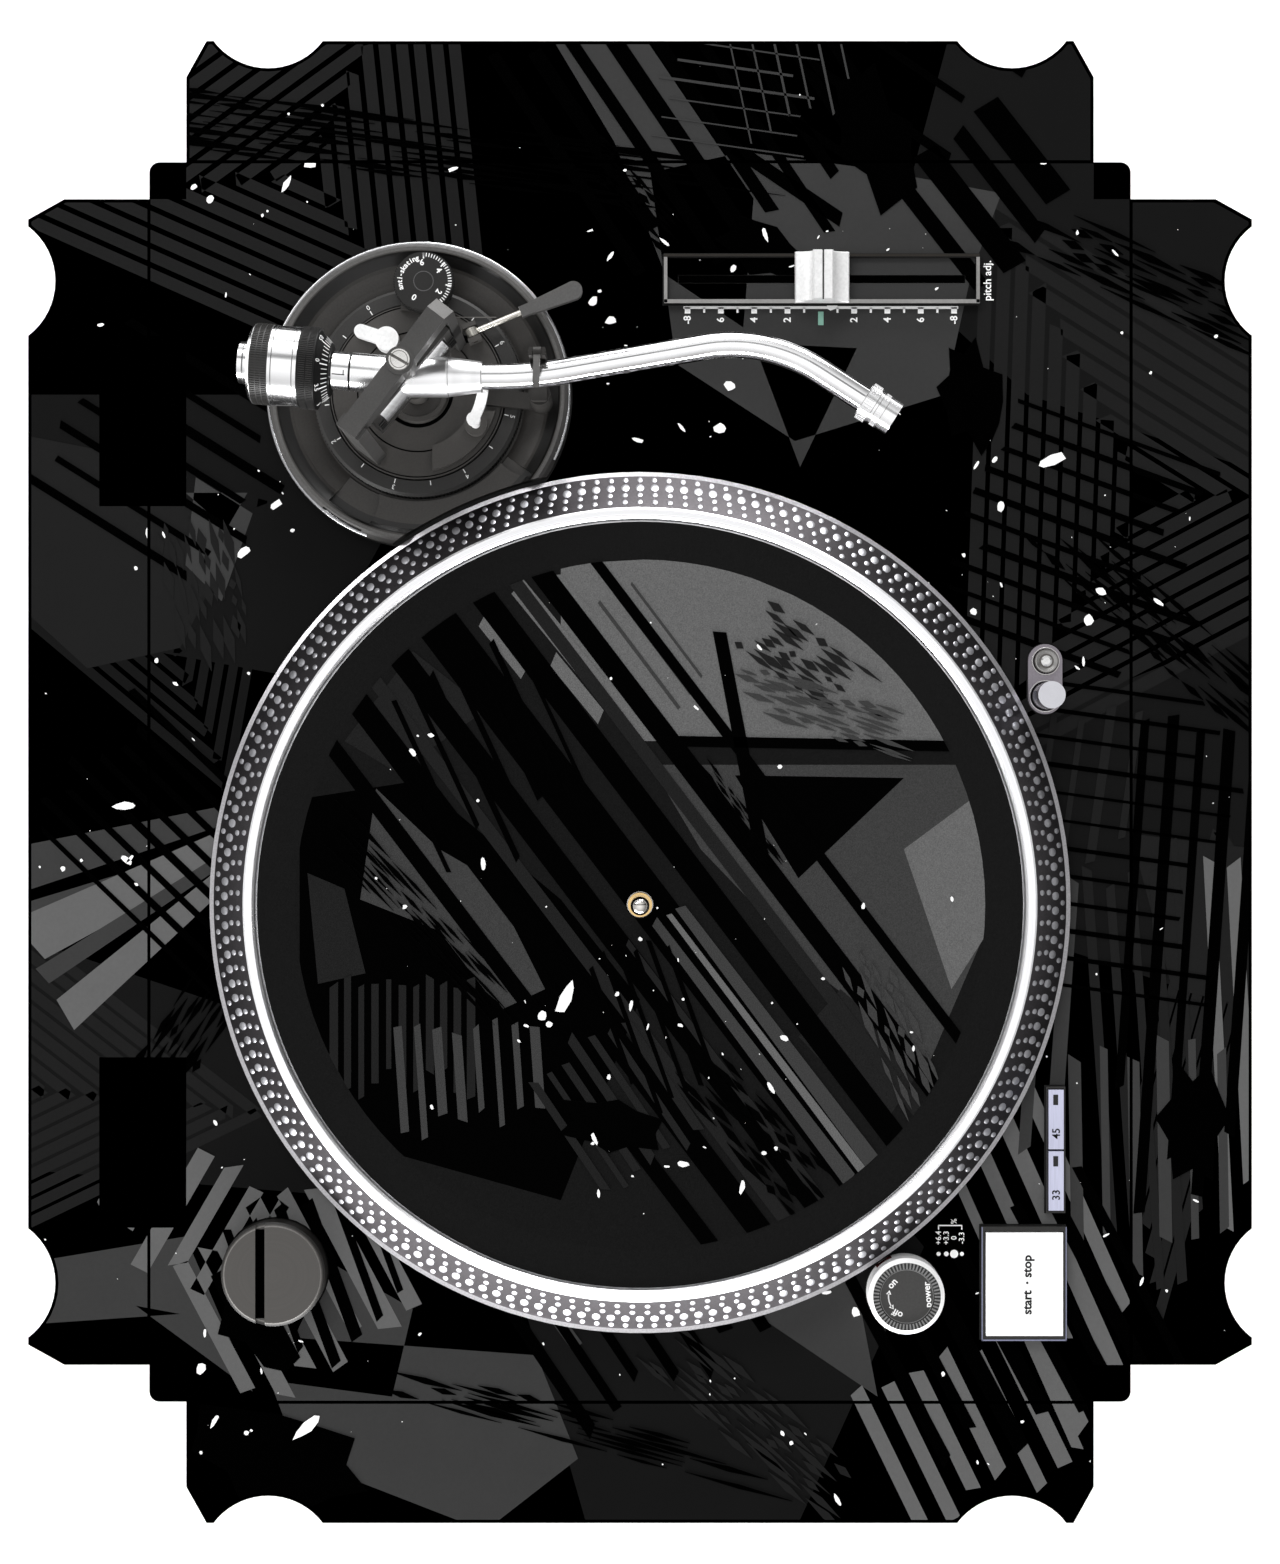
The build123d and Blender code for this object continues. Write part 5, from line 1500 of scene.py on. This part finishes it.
def dress_arm():
    """Bridge, gimbal, housing, tube, collar and the small fittings."""
    dress(grained("bridge_satin", grey(72, 0.02), 0.4, 0.3, grain=1600.0), "arm_bridge")
    dress(grained("screw_steel", (0.8, 0.79, 0.77), 0.25, 1.0, grain=600.0), "pivot_screw")
    dress(grained("lever_white", grey(240), 0.32, 0.4), "lock_lever", "cue_lifter")
    dress(grained("rest_black", grey(44, 0.05), 0.4), "arm_rest", "rest_clamp")
    silver = turned_metal("arm_silver", BRIGHT, 0.26, PIVOT, lines=1.2, relief=0.05,
                          height=ARM_Z, axis=(0, 1, 0))
    dress(silver, "arm_housing")
    dress(grained("gimbal_grey", grey(74, 0.03), 0.35, 0.6), "gimbal_ring")
    polish = grained("tube_polish", BRIGHT, 0.13, 1.0, grain=500.0, mottle=0.03, relief=0.01)
    dress(polish, "arm_tube", "headshell_socket")
    tube = Piece()
    tube.pipe(bent_path(TUBE_POINTS, TUBE_BENDS), TUBE_R, ARM_Z)
    tube.make("s_tube", "tonearm", [polish], ["arm_tube"], smooth=60)
    holders = Piece()
    for side in (TILT_DEG, TILT_DEG + 180):
        holders.ribs((*PIVOT, ARM_Z), (*unit(side), 0), 4.75, 18.4, 21.2, 26, 0.4, 0.6, 0)
    holders.make("bearing_holders", "gimbal", [grained("holder_black", grey(30), 0.4)])
    head = Piece()
    crown = node_top("pivot_screw")
    head.box(PIVOT, (7.2, 0.96), 60, 0, crown - 1.0, crown - 0.4)
    head.spun(PIVOT, crown, [(-0.2, 2.9), (0.03, 2.9), (0.03, 3.15), (-0.2, 3.15)], 0, 40)
    head.make("screw_slot", "arm_column", [grained("slot_dark", grey(96, 0.04), 0.5)])
    shaft_silver = turned_metal("shaft_silver", BRIGHT, 0.22, PIVOT, lines=1.4, relief=0.05,
                                height=ARM_Z, axis=(*REAR, 0))
    dress(shaft_silver, "rear_shaft")
    collar_silver = turned_metal("collar_silver", BRIGHT, 0.2, node_centre("collar_nut"), lines=1.4,
                                 height=ARM_Z, axis=(*COLLAR, 0))
    dress(collar_silver, "collar_nut")
    grip = (unit(CUE_DEG), 20.0, 60.0, grey(70, 0.02), 0.45, 0.1)
    lever = turned_metal("lever_steel", (0.62, 0.6, 0.55), 0.3, CUE_HINGE, relief=0.02, dark=[grip])
    dress(lever, "cue_lever")
    fit = Piece()
    for shift, radius in ((14.6, 7.36), (26.8, 5.75)):
        ring_round(fit, PIVOT, -90, shift, radius, 0.22, 1)
    seam = grained("seam_grey", grey(96), 0.4, 0.6)
    fit.make("housing_seams", "tonearm", [silver, seam])
    shaft = Piece()
    ring_round(shaft, PIVOT, REAR_DEG, 21.4, 6.6, 0.7, 0)
    for near, far in (((23.0, -20), (27.6, -20)), ((23.4, -20), (23.4, -6))):     # shift, turn
        start, normal = on_shaft(near[0], SHAFT_R, near[1])
        end, _ = on_shaft(far[0], SHAFT_R, far[1])
        surface_bar(shaft, start, end, normal, 0.35)
    shaft.make("shaft_marks", "tonearm", [grained("groove_black", grey(10), 0.5)])
    collar = Piece()
    axis = (*COLLAR, 0)
    centre = (*TUBE_END, ARM_Z)
    for row in COLLAR_KNURLS:
        collar.ribs(centre, axis, *row)
    for shift, radius in ((1.0, 6.95), (5.4, 6.6), (6.6, 6.5), (9.4, 6.5)):
        ring_round(collar, TUBE_END, COLLAR_DEG, shift, radius, 0.35, 1)
    finishes = [grained("collar_rib", BRIGHT, 0.25, 1.0), grained("collar_line", grey(190), 0.25, 1.0)]
    collar.make("collar_knurl", "collar_nut", finishes)


def bent_path(points, radii):
    """Level path through points, its inner corners rounded to the given radii."""
    steps = 24                   # on each bend
    path = [Vector(points[0])]
    for before, corner, after, radius in zip(points, points[1:], points[2:], radii):
        before, corner, after = Vector(before), Vector(corner), Vector(after)
        inward, outward = (corner - before).normalized(), (after - corner).normalized()
        turn = math.atan2(inward.x * outward.y - inward.y * outward.x, inward.dot(outward))
        run = radius * math.tan(abs(turn) / 2)
        start = corner - inward * run
        side = Vector((-inward.y, inward.x)) * math.copysign(1, turn)
        middle = start + side * radius
        for step in range(steps + 1):
            angle = turn * step / steps
            spoke = start - middle
            c, s = math.cos(angle), math.sin(angle)
            path.append(middle + Vector((spoke.x * c - spoke.y * s, spoke.x * s + spoke.y * c)))
    path.append(Vector(points[-1]))
    return path


def ring_round(piece, centre, degrees, shift, radius, width, slot):
    """Thin raised ring round a level shaft."""
    axis = (*unit(degrees), 0)
    place = Vector((*centre, ARM_Z)) + Vector(axis) * shift
    half, foot = width / 2, radius - 0.5
    profile = [(-half, foot), (-half, radius), (half, radius), (half, foot)]
    piece.lathe(tuple(place), axis, profile, slot, 64)


DIAL_START = 28.6               # cone of the force dial, measured from the pivot
DIAL_EDGE = 33.2
DIAL_NOSE_R = 9.5
DIAL_RISE = 4.5                 # gain in radius from the nose to the edge


def dress_force_dial():
    """Black scale cone, ticked and numbered, with a knurled rim."""
    dress(grained("dial_black", grey(20), 0.4, grain=1600.0), "force_dial")
    axis = Vector((*REAR, 0))
    run, rise = DIAL_EDGE - DIAL_START, DIAL_RISE
    slope = math.hypot(run, rise)

    def on_cone(share, turn):
        """Point a share of the way up the cone, with its outward and normal directions."""
        place, outward = on_shaft(DIAL_START + share * run, DIAL_NOSE_R + share * rise, turn)
        return place, outward, (outward * run - axis * rise) / slope

    face = Piece()
    for step in range(40):
        turn = 360.0 * step / 40
        reach, width = (0.62, 0.42) if step % 5 == 0 else (0.5, 0.26)
        near, _, normal = on_cone(0.1, turn)
        far, _, _ = on_cone(reach, turn)
        surface_bar(face, near, far, normal, width)
    for step in range(8):
        turn = 45.0 * step + 4.5
        place, outward, normal = on_cone(0.8, turn)
        up = -(axis * run + outward * rise) / slope
        right = up.cross(normal)
        matrix = Matrix((right, up, normal)).transposed().to_4x4()
        matrix.translation = place
        words = str(step // 2) if step % 2 == 0 else f"{step // 2}.5"
        face.text(words, matrix, 2.5)
    place = Vector((*PIVOT, ARM_Z)) + axis * DIAL_EDGE
    for low, high in ((0.5, 2.8), (3.3, 5.7)):
        face.ribs(place, axis, 14.85, low, high, 120, 0.26, 0.6, 1)
    finishes = [ink_white(), grained("dial_knurl", grey(44, 0.02), 0.45)]
    face.make("force_dial_face", "force_dial", finishes)


WEIGHT_DARK = (50.2, 56.9)      # knurled zone of the counterweight
WEIGHT_KNURLS = ((50.6, 52.4), (52.8, 54.4), (54.8, 56.6))


def dress_counterweight():
    """Turned silver weight with a dark knurled grip and a stepped cap."""
    knurled = (REAR, *WEIGHT_DARK, grey(40, 0.02), 0.45, 0.3)
    weight = turned_metal("weight_silver", BRIGHT, 0.2, PIVOT, lines=1.3, relief=0.06,
                          height=ARM_Z, axis=(*REAR, 0), dark=[knurled])
    dress(weight, "counterweight")
    grip = Piece()
    axis = (*REAR, 0)
    place = Vector((*PIVOT, ARM_Z))
    for low, high in WEIGHT_KNURLS:
        grip.ribs(place, axis, 14.55, low, high, 104, 0.28, 0.6)
    for shift in (41.2, 48.9):
        ring_round(grip, PIVOT, REAR_DEG, shift, 14.66, 0.35, 1)
    ring_round(grip, PIVOT, REAR_DEG, 60.6, 7.85, 0.5, 1)
    finishes = [
        grained("grip_black", grey(50, 0.03), 0.4, 0.2),
        grained("weight_line", grey(120), 0.3, 1.0),
    ]
    grip.make("weight_grip", "counterweight", finishes)


make_camera()
make_stage()
dress_cabinet()
dress_platter()
dress_slipmat()
dress_skin()
dress_labels()
dress_fader()
dress_keys()
dress_dial()
dress_target_light()
dress_adaptor()
dress_arm_base()
dress_knob()
dress_arm()
dress_force_dial()
dress_counterweight()
